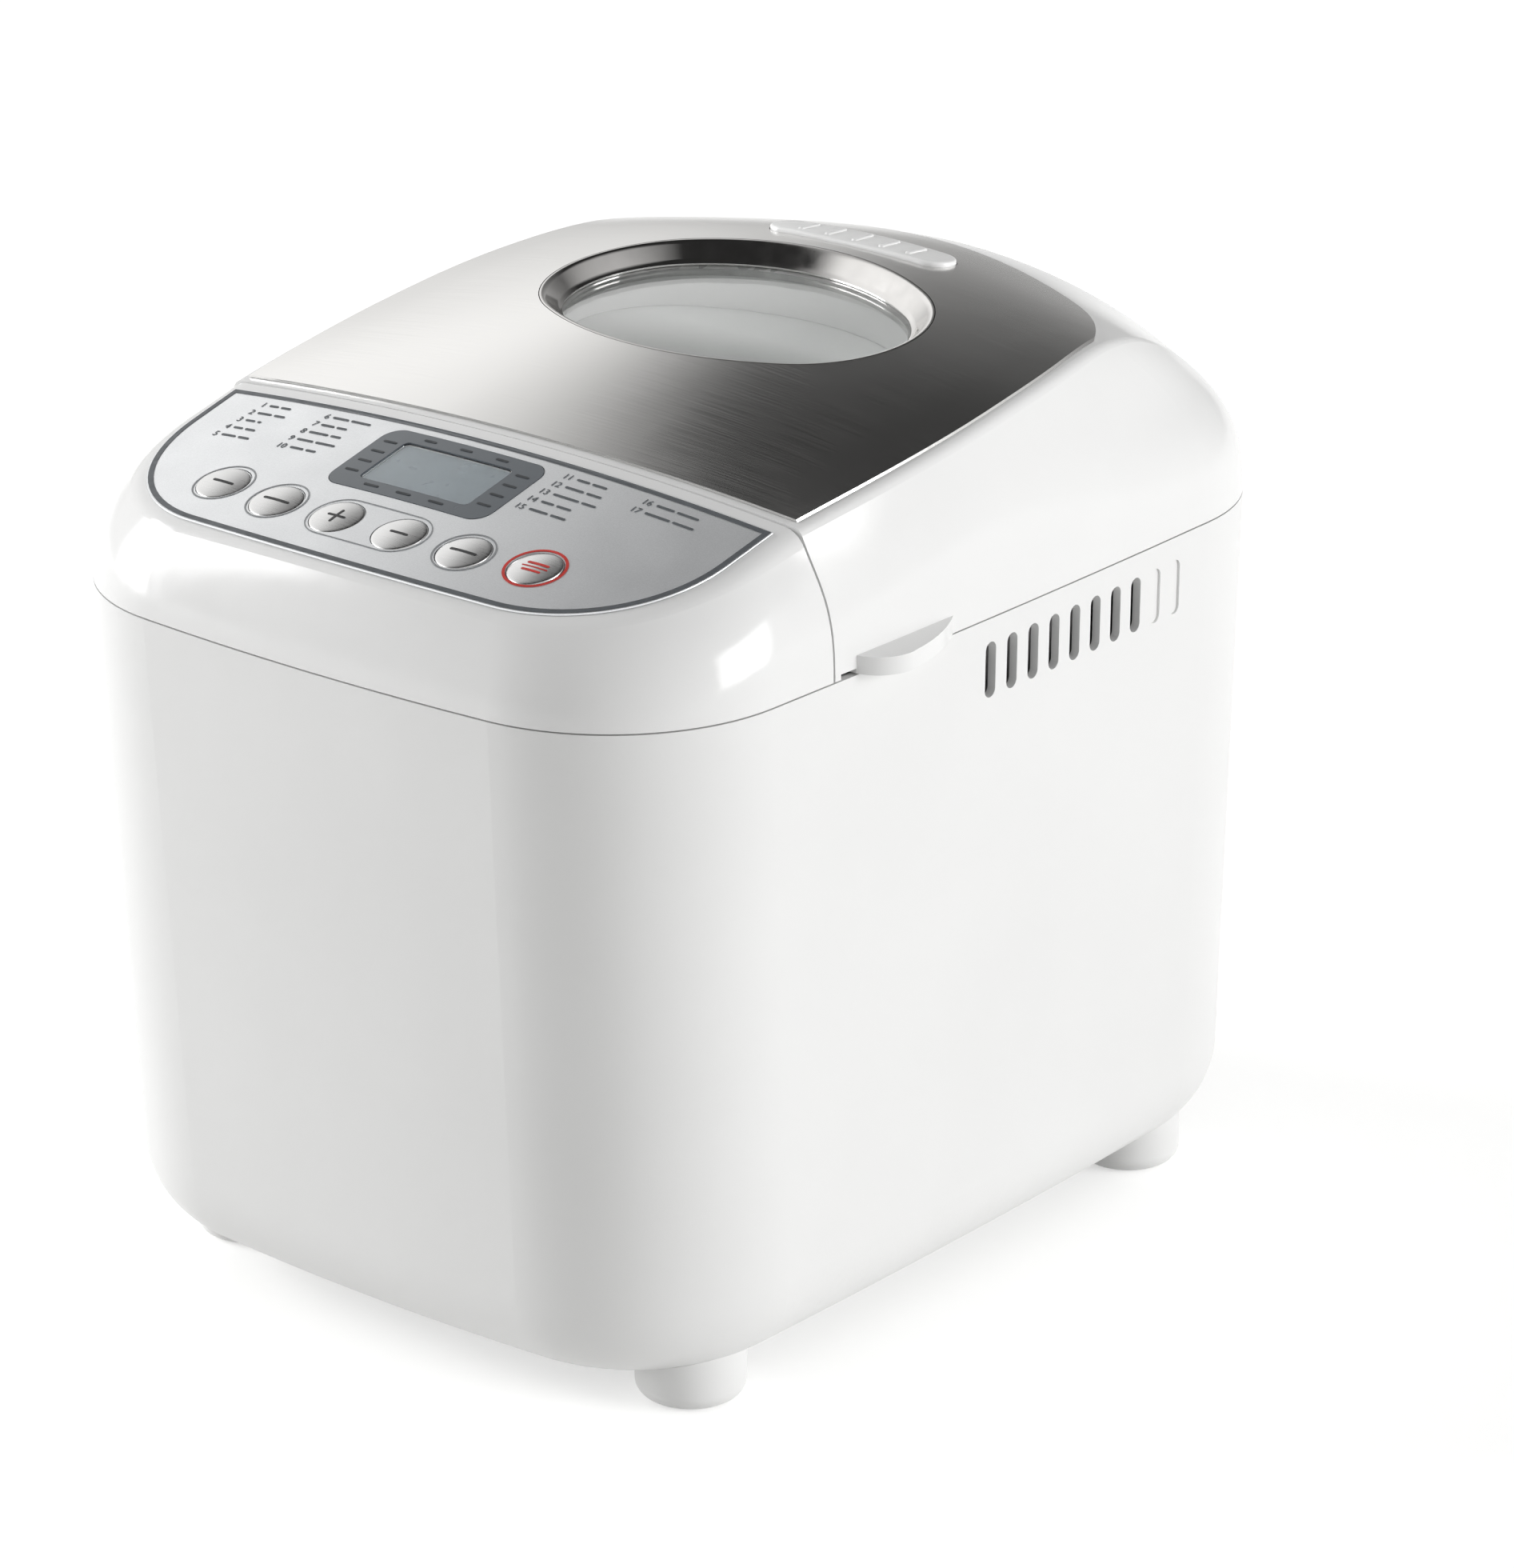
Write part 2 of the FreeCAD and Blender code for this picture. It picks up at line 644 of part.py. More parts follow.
def body_housing():
    """The tub: an open shell with posts for the chassis and bosses for the base screws."""
    hollow = tub_block(TUB_WALL, PARTING_HEIGHT + PARTING_GAP)
    shell = TUB_SOLID.cut(hollow)
    posts = [disc(POST_DIAMETER, CHASSIS_HEIGHT - FOOT_HEIGHT, Vector(x, y, FOOT_HEIGHT)).common(TUB_SOLID)
             for x, y in POST_PLACES]
    bosses = [disc(SCREW_BOSS_DIAMETER, SCREW_LENGTH + TUB_WALL, Vector(x, y, FOOT_HEIGHT))
              for x, y in BASE_SCREW_PLACES]
    shell = join([shell] + posts + bosses)
    opening = rounded_rectangle(BASE_OPENING_WIDTH / 2, BASE_OPENING_DEPTH / 2, BASE_OPENING_CORNER,
                                BASE_Y, 0)
    cuts = [plate(opening, TUB_FLOOR + FIT_GAP)] + side_slots()
    cuts += [pilot(Vector(x, y, CHASSIS_HEIGHT), UP * -1) for x, y in POST_PLACES]
    cuts += [pilot(Vector(x, y, FOOT_HEIGHT), UP) for x, y in BASE_SCREW_PLACES]
    cuts.append(disc(GLAND_DIAMETER, 2 * CHAMBER_REAR_GAP, Vector(GLAND_X, CHAMBER_REAR, GLAND_HEIGHT),
                     Vector(0, 1, 0)))
    return shell.cut(cuts)


def base_plate():
    """The slotted plate that closes the opening under the tub."""
    outline = rounded_rectangle(BASE_OPENING_WIDTH / 2 + BASE_PLATE_LAP,
                                BASE_OPENING_DEPTH / 2 + BASE_PLATE_LAP, BASE_OPENING_CORNER,
                                BASE_Y, FOOT_HEIGHT - BASE_PLATE_THICKNESS)
    cuts = [disc(SCREW_DIAMETER, FOOT_HEIGHT, Vector(x, y, 0)) for x, y in BASE_SCREW_PLACES]
    for index in range(BASE_SLOTS):
        y = BASE_Y + BASE_SLOT_PITCH * (index - (BASE_SLOTS - 1) / 2)
        cuts.append(plate(stadium(BASE_SLOT_LENGTH, BASE_SLOT_WIDTH, 0, y, 0), FOOT_HEIGHT))
    return plate(outline, BASE_PLATE_THICKNESS).cut(cuts)


def foot(x, y):
    """A round foot, let into the rounding under the tub."""
    leg = disc(FOOT_DIAMETER, FOOT_HEIGHT + FOOT_SEAT, Vector(x, y, 0))
    sole = [edge for edge in leg.Edges if edge.BoundBox.ZMax < FIT_GAP]
    return leg.makeFillet(FOOT_ROUNDING, sole).cut(TUB_SOLID)


def case_screws():
    """Screws of the base plate and of the chassis."""
    below = FOOT_HEIGHT - BASE_PLATE_THICKNESS
    shapes = [screw(Vector(x, y, below), UP) for x, y in BASE_SCREW_PLACES]
    shapes += [screw(Vector(x, y, CHASSIS_TOP), UP * -1) for x, y in POST_PLACES]
    return Part.makeCompound(shapes)


def button_place(index):
    """Where a button stands on the panel: the row bows towards the front, most at its ends."""
    steps = index - (len(BUTTON_NAMES) - 1) / 2
    bend = (2 * steps / (len(BUTTON_NAMES) - 1)) ** 4
    return BUTTON_ROW_X + BUTTON_PITCH * steps, FRONT + BUTTON_ROW_SETBACK + BUTTON_ROW_BOW * bend


BUTTON_PLACES = [button_place(index) for index in range(len(BUTTON_NAMES))]
DISPLAY_Y = FRONT + DISPLAY_SETBACK
BOARD_DEPTH = PANEL_DEPTH - BOARD_FRONT_MARGIN - BOARD_REAR_MARGIN
BOARD_Y = FRONT + BOARD_FRONT_MARGIN + BOARD_DEPTH / 2
BOARD_SCREW_PLACES = mirrored_places(BOARD_HALF_WIDTH - BOARD_SCREW_INSET, -BOARD_SCREW_INSET,
                                     BOARD_DEPTH / 2 - BOARD_SCREW_INSET)


def panel_drop(x):
    """How far the arched panel lies under its middle line at x."""
    return PANEL_ARCH * x ** 2


def button_holes(height, depth):
    """Cutters for the six buttons, square to the panel."""
    hole = disc(BUTTON_DIAMETER + 2 * BUTTON_CLEARANCE, height + depth, Vector(0, 0, -depth))
    return [on_panel(hole, x, y) for x, y in BUTTON_PLACES]


def display_prism(width, depth, corner, clearance=0.0):
    """An upright prism over the display."""
    outline = rounded_rectangle(width / 2 + clearance, depth / 2 + clearance, corner, DISPLAY_Y,
                                PARTING_HEIGHT, DISPLAY_X)
    return plate(outline, OVERALL_HEIGHT - PARTING_HEIGHT)


def panel_layer(low, high):
    """The space between two levels over the panel."""
    return panel_block(high).cut(panel_block(low))


def front_cover():
    """The glossy housing with the control panel, open below and closed towards the lid."""
    room = box(-FAR, FAR, -FAR, COVER_REAR - COVER_WALL, 0, FAR)
    hollow = shoulder_block(COVER_WALL).common(panel_block(-COVER_WALL)).common(room)
    post = disc(SCREW_BOSS_DIAMETER, -COVER_WALL - BOARD_TOP, Vector(0, 0, BOARD_TOP))
    posts = [board_placed(post.translated(Vector(x, y, 0))) for x, y in BOARD_SCREW_PLACES]
    solid = cover_solid()
    shell = join([solid.cut(hollow)] + [item.common(solid) for item in posts])
    hole = disc(SCREW_DIAMETER, SCREW_LENGTH, Vector(0, 0, BOARD_TOP - BOARD_THICKNESS))
    holes = [board_placed(hole.translated(Vector(x, y, 0))) for x, y in BOARD_SCREW_PLACES]
    holes.append(display_prism(LENS_WIDTH, LENS_DEPTH, LENS_CORNER, LENS_CLEARANCE))
    return shell.cut(button_holes(PANEL_DEPTH / 2, COVER_WALL * 2) + holes)


def board_placed(shape):
    """A shape drawn flat about the board's middle, at its place under the panel."""
    return on_panel(shape, 0, BOARD_Y)


def control_overlay():
    """The thin printed panel sheet, with holes for the buttons and the display."""
    outline = bowed_outline(OVERLAY_HALF_WIDTH, FRONT + OVERLAY_FRONT_MARGIN, REAR, OVERLAY_CORNER,
                            (FRONT_BOW, SIDE_BOW, 0, SIDE_BOW), PARTING_HEIGHT)
    layer = panel_layer(ADHESIVE, ADHESIVE + OVERLAY_THICKNESS)
    sheet = plate(outline, OVERALL_HEIGHT - PARTING_HEIGHT).common(layer)
    sheet = sheet.common(box(-FAR, FAR, -FAR, PANEL_REAR, 0, FAR))
    cuts = button_holes(PANEL_DEPTH / 2, COVER_WALL)
    cuts.append(display_prism(DISPLAY_FRAME_WIDTH, DISPLAY_FRAME_DEPTH, DISPLAY_FRAME_CORNER,
                              LENS_CLEARANCE))
    return sheet.cut(cuts)


def display_frame():
    """The dark frame round the display."""
    frame = display_prism(DISPLAY_FRAME_WIDTH, DISPLAY_FRAME_DEPTH, DISPLAY_FRAME_CORNER)
    frame = frame.common(panel_layer(ADHESIVE, DISPLAY_FRAME_RISE))
    return frame.cut(display_prism(LENS_WIDTH, LENS_DEPTH, LENS_CORNER, LENS_CLEARANCE))


def display_lens():
    """The clear pane over the display."""
    pane = display_prism(LENS_WIDTH, LENS_DEPTH, LENS_CORNER)
    return pane.common(panel_layer(DISPLAY_FRAME_RISE - LENS_THICKNESS, DISPLAY_FRAME_RISE / 2))


def display_module():
    """The display unit on the board, under its pane."""
    top = -COVER_WALL - panel_drop(LENS_WIDTH) - FIT_GAP
    width = LENS_WIDTH + 2 * DISPLAY_MODULE_MARGIN
    depth = LENS_DEPTH + 2 * DISPLAY_MODULE_MARGIN
    block = box(DISPLAY_X - width / 2, DISPLAY_X + width / 2, -depth / 2, depth / 2, BOARD_TOP, top)
    return on_panel(block, 0, DISPLAY_Y)


def control_board():
    """The circuit board under the control panel."""
    outline = rounded_rectangle(BOARD_HALF_WIDTH, BOARD_DEPTH / 2, STANDOFF_DIAMETER, 0,
                                BOARD_TOP - BOARD_THICKNESS)
    holes = [disc(SCREW_DIAMETER, PANEL_DEPTH, Vector(x, y, -PANEL_DEPTH)) for x, y in BOARD_SCREW_PLACES]
    return board_placed(plate(outline, BOARD_THICKNESS).cut(holes))


def board_screws():
    """Screws that hold the control board to the posts of the housing."""
    under = BOARD_TOP - BOARD_THICKNESS
    shapes = [board_placed(screw(Vector(x, y, under), UP)) for x, y in BOARD_SCREW_PLACES]
    return Part.makeCompound(shapes)


def key_switches():
    """The push switches on the board, one under each button."""
    shapes = []
    half = SWITCH_SIZE / 2
    for x, y in BUTTON_PLACES:
        drop = panel_drop(x)
        block = box(-half, half, -half, half, BOARD_TOP + drop, BOARD_TOP + SWITCH_HEIGHT)
        shapes.append(on_panel(block, x, y))
    return Part.makeCompound(shapes)


def button(x, y):
    """A round button with a domed face, a holding flange and a stem."""
    flange_top = -COVER_WALL - BUTTON_FLANGE_GAP
    flange_low = flange_top - BUTTON_FLANGE_THICKNESS
    stem_end = flange_low - BUTTON_STEM_LENGTH
    face = BUTTON_HEIGHT + BUTTON_CROWN
    bulge = (BUTTON_DIAMETER ** 2 / 4 + BUTTON_CROWN ** 2) / (2 * BUTTON_CROWN)
    dome = Part.makeSphere(bulge, Vector(0, 0, face - bulge))
    head = disc(BUTTON_DIAMETER, face - flange_low, Vector(0, 0, flange_low)).common(dome)
    flange = disc(BUTTON_DIAMETER + 2 * BUTTON_FLANGE, BUTTON_FLANGE_THICKNESS, Vector(0, 0, flange_low))
    stem = disc(BUTTON_STEM_DIAMETER, flange_low - stem_end, Vector(0, 0, stem_end))
    solid = join([head, flange, stem])
    return on_panel(solid, x, y)


def chamber_deck():
    """The deck between the chamber's mouth and the tub, with a lip behind the control housing."""
    deck = plate(tub_outline(CHAMBER_TOP, TUB_WALL + DECK_GAP), DECK_THICKNESS)
    front = COVER_REAR - COVER_WALL
    deck = deck.common(box(-FAR, FAR, front, FAR, 0, FAR))
    lip = plate(tub_outline(CHAMBER_TOP, TUB_WALL + DECK_GAP), PARTING_HEIGHT - CHAMBER_TOP)
    lip = lip.common(box(-FAR, FAR, front, front + DECK_LIP, 0, FAR))
    mouth = rounded_rectangle(CHAMBER_HALF_X, CHAMBER_HALF_Y, CHAMBER_CORNER, CHAMBER_Y, 0)
    return join([deck, lip]).cut(plate(mouth, OVERALL_HEIGHT))


def chamber_prism(margin, bottom, top):
    """The chamber's room, grown by margin."""
    outline = rounded_rectangle(CHAMBER_HALF_X + margin, CHAMBER_HALF_Y + margin, CHAMBER_CORNER + margin,
                                CHAMBER_Y, bottom)
    return plate(outline, top - bottom)


def heater_tail(x, diameter, start, length):
    """A bar through the chamber's front wall where the heater's tails leave."""
    return disc(diameter, length, Vector(x, start, CHAMBER_FLOOR + HEATER_HEIGHT), Vector(0, 1, 0))


def oven_chamber():
    """The folded steel oven with a flange under the deck."""
    walls = chamber_prism(CHAMBER_WALL, CHASSIS_TOP, CHAMBER_TOP)
    flange = chamber_prism(CHAMBER_FLANGE, CHAMBER_TOP - CHAMBER_WALL, CHAMBER_TOP)
    oven = join([walls, flange]).cut(chamber_prism(0.0, CHAMBER_FLOOR, CHAMBER_TOP))
    cuts = [disc(BEARING_DIAMETER, PAN_FLOOR_HEIGHT, Vector(0, CHAMBER_Y, CHASSIS_HEIGHT))]
    for x in (-HEATER_TAIL_X, HEATER_TAIL_X):
        cuts.append(heater_tail(x, BUSHING_DIAMETER, CHAMBER_FRONT - CHAMBER_FLANGE, 2 * CHAMBER_FLANGE))
    cuts.append(sensor_rod(CHAMBER_FLANGE, CHAMBER_FLANGE))
    return oven.cut(cuts)


def sensor_rod(outside, inside):
    """The sensor's rod, from outside the chamber's front wall to inside it."""
    place = Vector(SENSOR_X, CHAMBER_FRONT - outside, CHAMBER_FLOOR + SENSOR_HEIGHT)
    return disc(SENSOR_DIAMETER, outside + inside, place, Vector(0, 1, 0))


def temperature_sensor():
    """The probe in the chamber's front wall."""
    collar = disc(2 * SENSOR_DIAMETER, BUSHING_FLANGE,
                  Vector(SENSOR_X, CHAMBER_FRONT - CHAMBER_WALL - BUSHING_FLANGE,
                         CHAMBER_FLOOR + SENSOR_HEIGHT), Vector(0, 1, 0))
    return join([sensor_rod(SENSOR_LENGTH - SENSOR_REACH, SENSOR_REACH), collar])


def heating_element():
    """One bent tube round the lower pan, with both tails through the front wall."""
    z = CHAMBER_FLOOR + HEATER_HEIGHT
    half_x = CHAMBER_HALF_X - HEATER_GAP
    front = CHAMBER_FRONT + HEATER_GAP
    rear = CHAMBER_REAR - HEATER_GAP
    tail = CHAMBER_FRONT - HEATER_TAIL_LENGTH
    points = [(HEATER_TAIL_X, tail, 0), (HEATER_TAIL_X, front, HEATER_TAIL_BEND),
              (half_x, front, HEATER_CORNER), (half_x, rear, HEATER_CORNER),
              (-half_x, rear, HEATER_CORNER), (-half_x, front, HEATER_CORNER),
              (-HEATER_TAIL_X, front, HEATER_TAIL_BEND), (-HEATER_TAIL_X, tail, 0)]
    path = bent_path(points, z)
    start = Vector(HEATER_TAIL_X, tail, z)
    section = Part.Wire(Part.makeCircle(HEATER_DIAMETER / 2, start, Vector(0, 1, 0)))
    return path.makePipeShell([section], True, False)


def bent_path(points, z):
    """A level path of straight runs joined by tangent arcs; each point gives its bend radius."""
    edges = []
    last = Vector(points[0][0], points[0][1], z)
    for index in range(1, len(points) - 1):
        x, y, radius = points[index]
        corner = Vector(x, y, z)
        back = (Vector(points[index - 1][0], points[index - 1][1], z) - corner).normalize()
        ahead = (Vector(points[index + 1][0], points[index + 1][1], z) - corner).normalize()
        begin = corner + back * radius
        end = corner + ahead * radius
        middle = corner + (back + ahead) * radius - (back + ahead).normalize() * radius
        edges.append(Part.makeLine(last, begin))
        edges.append(Part.Arc(begin, middle, end).toShape())
        last = end
    edges.append(Part.makeLine(last, Vector(points[-1][0], points[-1][1], z)))
    return Part.Wire(edges)


def heater_bushings():
    """The ceramic sleeves of the heater's tails."""
    shapes = []
    wall = CHAMBER_FRONT - CHAMBER_WALL
    for x in (-HEATER_TAIL_X, HEATER_TAIL_X):
        sleeve = heater_tail(x, BUSHING_DIAMETER, wall - BUSHING_LENGTH + BUSHING_FLANGE, BUSHING_LENGTH)
        collar = heater_tail(x, BUSHING_DIAMETER + 2 * BUSHING_FLANGE, wall - BUSHING_FLANGE, BUSHING_FLANGE)
        bore = heater_tail(x, HEATER_DIAMETER, wall - BUSHING_LENGTH, 2 * BUSHING_LENGTH)
        shapes.append(join([sleeve, collar]).cut(bore))
    return Part.makeCompound(shapes)


def chassis_plate():
    """The steel plate that carries the oven, the motor and the power board."""
    front = FRONT + CHASSIS_FRONT_SETBACK
    rear = REAR - CHASSIS_REAR_SETBACK
    outline = rounded_rectangle(CHASSIS_HALF_WIDTH, (rear - front) / 2, CHASSIS_CORNER,
                                (front + rear) / 2, CHASSIS_HEIGHT)
    sheet = plate(outline, CHASSIS_THICKNESS)
    standoffs = [disc(STANDOFF_DIAMETER, POWER_BOARD_LIFT + CHASSIS_THICKNESS, Vector(x, y, CHASSIS_HEIGHT))
                 for x, y in standoff_places()]
    cuts = [disc(BEARING_DIAMETER, CHASSIS_TOP, Vector(0, CHAMBER_Y, 0)),
            disc(BRACKET_BORE, CHASSIS_TOP, Vector(0, MOTOR_Y, 0))]
    cuts += [disc(SCREW_DIAMETER, CHASSIS_TOP, Vector(x, y, 0)) for x, y in POST_PLACES]
    return join([sheet] + standoffs).cut(cuts)


POWER_BOARD_X = -(MOTOR_DIAMETER / 2 + BRACKET_MARGIN + POWER_BOARD_GAP + POWER_BOARD_WIDTH / 2)


def standoff_places():
    """The corners of the power board."""
    reach_x = POWER_BOARD_WIDTH / 2 - STANDOFF_INSET
    reach_y = POWER_BOARD_DEPTH / 2 - STANDOFF_INSET
    return [(POWER_BOARD_X + x, MOTOR_Y + y) for y in (-reach_y, reach_y) for x in (-reach_x, reach_x)]


POWER_BOARD_BOTTOM = CHASSIS_TOP + POWER_BOARD_LIFT
POWER_BOARD_TOP = POWER_BOARD_BOTTOM + BOARD_THICKNESS


def power_board():
    """The mains board beside the motor."""
    half_x = POWER_BOARD_WIDTH / 2
    half_y = POWER_BOARD_DEPTH / 2
    return box(POWER_BOARD_X - half_x, POWER_BOARD_X + half_x, MOTOR_Y - half_y, MOTOR_Y + half_y,
               POWER_BOARD_BOTTOM, POWER_BOARD_TOP)


def power_transformer():
    """The small transformer on the power board."""
    half_x = TRANSFORMER_WIDTH / 2
    y = MOTOR_Y + POWER_BOARD_DEPTH / 2 - STANDOFF_DIAMETER
    return box(POWER_BOARD_X - half_x, POWER_BOARD_X + half_x, y - TRANSFORMER_DEPTH, y,
               POWER_BOARD_TOP, POWER_BOARD_TOP + TRANSFORMER_HEIGHT)


def ribbon_cable():
    """The flat cable between the two boards."""
    y = FRONT + RIBBON_SETBACK - TRANSFORMER_DEPTH
    half = RIBBON_WIDTH / 2
    strip = box(POWER_BOARD_X - half, POWER_BOARD_X + half, y, y + RIBBON_THICKNESS,
                POWER_BOARD_TOP, OVERALL_HEIGHT)
    above = box(-FAR, FAR, -FAR, FAR, BOARD_TOP - BOARD_THICKNESS, FAR)
    return strip.cut(board_placed(above))


def motor_bracket():
    """The plate between the motor and the chassis."""
    half = MOTOR_DIAMETER / 2 + BRACKET_MARGIN
    block = plate(rounded_rectangle(half, half, BRACKET_MARGIN * 2, MOTOR_Y, CHASSIS_TOP), BRACKET_THICKNESS)
    return block.cut(disc(BRACKET_BORE, OVERALL_HEIGHT, Vector(0, MOTOR_Y, 0)))


MOTOR_BOTTOM = CHASSIS_TOP + BRACKET_THICKNESS


def motor_case():
    """The motor's stator and end shields round the rotor's room."""
    case = disc(MOTOR_DIAMETER, MOTOR_HEIGHT, Vector(0, MOTOR_Y, MOTOR_BOTTOM))
    room = disc(MOTOR_DIAMETER - 2 * MOTOR_SHELL, MOTOR_HEIGHT - 2 * MOTOR_END,
                Vector(0, MOTOR_Y, MOTOR_BOTTOM + MOTOR_END))
    bore = disc(MOTOR_SHAFT_DIAMETER + 2 * SHAFT_CLEARANCE, OVERALL_HEIGHT, Vector(0, MOTOR_Y, 0))
    return case.cut([room, bore])


def motor_rotor():
    """The motor's shaft with its rotor."""
    bottom = PULLEY_HEIGHT - PULLEY_SHAFT_TAIL
    top = MOTOR_BOTTOM + MOTOR_HEIGHT + PULLEY_SHAFT_TAIL
    shaft = disc(MOTOR_SHAFT_DIAMETER, top - bottom, Vector(0, MOTOR_Y, bottom))
    rotor = disc(MOTOR_DIAMETER - 2 * MOTOR_SHELL - 2 * ROTOR_GAP,
                 MOTOR_HEIGHT - 2 * MOTOR_END - 2 * ROTOR_GAP,
                 Vector(0, MOTOR_Y, MOTOR_BOTTOM + MOTOR_END + ROTOR_GAP))
    return join([shaft, rotor])


def pulley(diameter, bore, y, lightened):
    """A flanged belt pulley."""
    base = Vector(0, y, PULLEY_HEIGHT)
    wheel = disc(diameter, PULLEY_WIDTH, base)
    flange = disc(diameter + 2 * PULLEY_FLANGE, PULLEY_FLANGE_THICKNESS, base)
    top_flange = flange.translated(Vector(0, 0, PULLEY_WIDTH - PULLEY_FLANGE_THICKNESS))
    cuts = [disc(bore, PULLEY_WIDTH, base)]
    if lightened:
        room = ring(diameter - 2 * PULLEY_RIM, PULLEY_HUB_DIAMETER, PULLEY_WIDTH - PULLEY_WEB,
                    base + Vector(0, 0, PULLEY_WEB))
        cuts.append(room)
    return join([wheel, flange, top_flange]).cut(cuts)


def belt_loop(offset):
    """The outline of the belt, drawn out from the pulleys by offset."""
    big = DRIVEN_PULLEY_DIAMETER / 2 + offset
    small = MOTOR_PULLEY_DIAMETER / 2 + offset
    lean = math.asin((big - small) / (CHAMBER_Y - MOTOR_Y))
    z = PULLEY_HEIGHT + PULLEY_FLANGE_THICKNESS + BELT_GAP
    aside = Vector(math.cos(lean), -math.sin(lean), 0)
    mirror = Vector(-aside.x, aside.y, 0)
    driven = Vector(0, CHAMBER_Y, z)
    motor = Vector(0, MOTOR_Y, z)
    edges = [
        Part.makeLine(motor + aside * small, driven + aside * big),
        Part.Arc(driven + aside * big, driven + Vector(0, big, 0), driven + mirror * big).toShape(),
        Part.makeLine(driven + mirror * big, motor + mirror * small),
        Part.Arc(motor + mirror * small, motor - Vector(0, small, 0), motor + aside * small).toShape(),
    ]
    return Part.Wire(edges)


def drive_belt():
    """The belt round the two pulleys."""
    width = PULLEY_WIDTH - 2 * PULLEY_FLANGE_THICKNESS - 2 * BELT_GAP
    return plate(belt_loop(BELT_GAP + BELT_THICKNESS), width).cut(plate(belt_loop(BELT_GAP), width))


COUPLING_BOTTOM = CHAMBER_FLOOR + COUPLING_LIFT
COUPLING_TOP = COUPLING_BOTTOM + COUPLING_THICKNESS


def drive_bearing():
    """The flanged bush of the drive shaft, under the chassis and through the oven's floor."""
    bottom = CHASSIS_HEIGHT + CHASSIS_THICKNESS + CHAMBER_WALL + BELT_GAP - BEARING_LENGTH
    bush = disc(BEARING_DIAMETER, BEARING_LENGTH, Vector(0, CHAMBER_Y, bottom))
    flange = disc(BEARING_FLANGE, BEARING_FLANGE_THICKNESS,
                  Vector(0, CHAMBER_Y, CHASSIS_HEIGHT - BEARING_FLANGE_THICKNESS))
    bore = disc(DRIVE_SHAFT_DIAMETER + 2 * SHAFT_CLEARANCE, OVERALL_HEIGHT, Vector(0, CHAMBER_Y, 0))
    return join([bush, flange]).cut(bore)


def drive_shaft():
    """The vertical shaft from the big pulley to the coupling."""
    bottom = PULLEY_HEIGHT - PULLEY_SHAFT_TAIL
    return disc(DRIVE_SHAFT_DIAMETER, COUPLING_TOP - bottom, Vector(0, CHAMBER_Y, bottom))


def drive_coupling():
    """The disc with two dogs that turns the pan's shaft."""
    base = Vector(0, CHAMBER_Y, COUPLING_BOTTOM)
    shapes = [disc(COUPLING_DIAMETER, COUPLING_THICKNESS, base)]
    for side in (-1, 1):
        place = Vector(side * COUPLING_DOG_REACH, CHAMBER_Y, COUPLING_TOP)
        shapes.append(disc(COUPLING_DOG, COUPLING_DOG_HEIGHT, place))
    return join(shapes).cut(disc(DRIVE_SHAFT_DIAMETER, COUPLING_THICKNESS, base))


def pan_shaft():
    """The shaft in the pan, with the cross bar that the dogs push."""
    bottom = COUPLING_TOP + COUPLING_GAP
    shaft = disc(PAN_SHAFT_DIAMETER, PAN_FLOOR + PAN_SHAFT_TOP - bottom, Vector(0, CHAMBER_Y, bottom))
    half = PAN_SHAFT_DIAMETER / 2
    bar = box(-half, half, CHAMBER_Y - COUPLING_BAR / 2, CHAMBER_Y + COUPLING_BAR / 2,
              bottom, bottom + COUPLING_BAR_HEIGHT)
    return join([shaft, bar])


def kneading_paddle():
    """The paddle: a hub with one tapered blade."""
    bottom = PAN_FLOOR + PAN_BOSS_HEIGHT + PADDLE_LIFT
    hub = disc(PADDLE_HUB_DIAMETER, PADDLE_HUB_HEIGHT, Vector(0, CHAMBER_Y, bottom))
    low = Vector(0, CHAMBER_Y - PADDLE_BLADE / 2, bottom)
    corners = [low, low + Vector(PADDLE_REACH, 0, 0),
               low + Vector(PADDLE_REACH, 0, PADDLE_BLADE_HEIGHT / 4),
               low + Vector(PADDLE_HUB_DIAMETER / 2, 0, PADDLE_BLADE_HEIGHT),
               low + Vector(0, 0, PADDLE_HUB_HEIGHT)]
    blade = Part.Face(Part.makePolygon(corners + corners[:1])).extrude(Vector(0, PADDLE_BLADE, 0))
    bore = disc(PAN_SHAFT_DIAMETER, PADDLE_HUB_HEIGHT * 2, Vector(0, CHAMBER_Y, bottom))
    return join([hub, blade]).cut(bore)


def pan_frustum(inset, bottom, top):
    """The pan's tapered room, drawn in by inset."""
    outlines = []
    for z in (bottom, top):
        shrink = inset + PAN_DRAFT * (PAN_TOP - z) / (PAN_TOP - PAN_BOTTOM)
        outlines.append(rounded_rectangle(PAN_TOP_HALF_X - shrink, PAN_TOP_HALF_Y - shrink,
                                          PAN_CORNER - inset, CHAMBER_Y, z))
    return Part.makeLoft(outlines, True, True)


def pan_solid():
    """The pan's outer form with its rim bead, filled."""
    bead = rounded_rectangle(PAN_TOP_HALF_X + PAN_BEAD, PAN_TOP_HALF_Y + PAN_BEAD, PAN_CORNER + PAN_BEAD,
                             CHAMBER_Y, PAN_TOP - PAN_BEAD_HEIGHT)
    return join([pan_frustum(0.0, PAN_BOTTOM, PAN_TOP), plate(bead, PAN_BEAD_HEIGHT)])


def bread_pan():
    """The loaf pan."""
    hollow = pan_frustum(PAN_WALL, PAN_FLOOR, PAN_TOP)
    hole = disc(PAN_BOSS_DIAMETER, PAN_WALL, Vector(0, CHAMBER_Y, PAN_BOTTOM))
    return pan_solid().cut([hollow, hole])


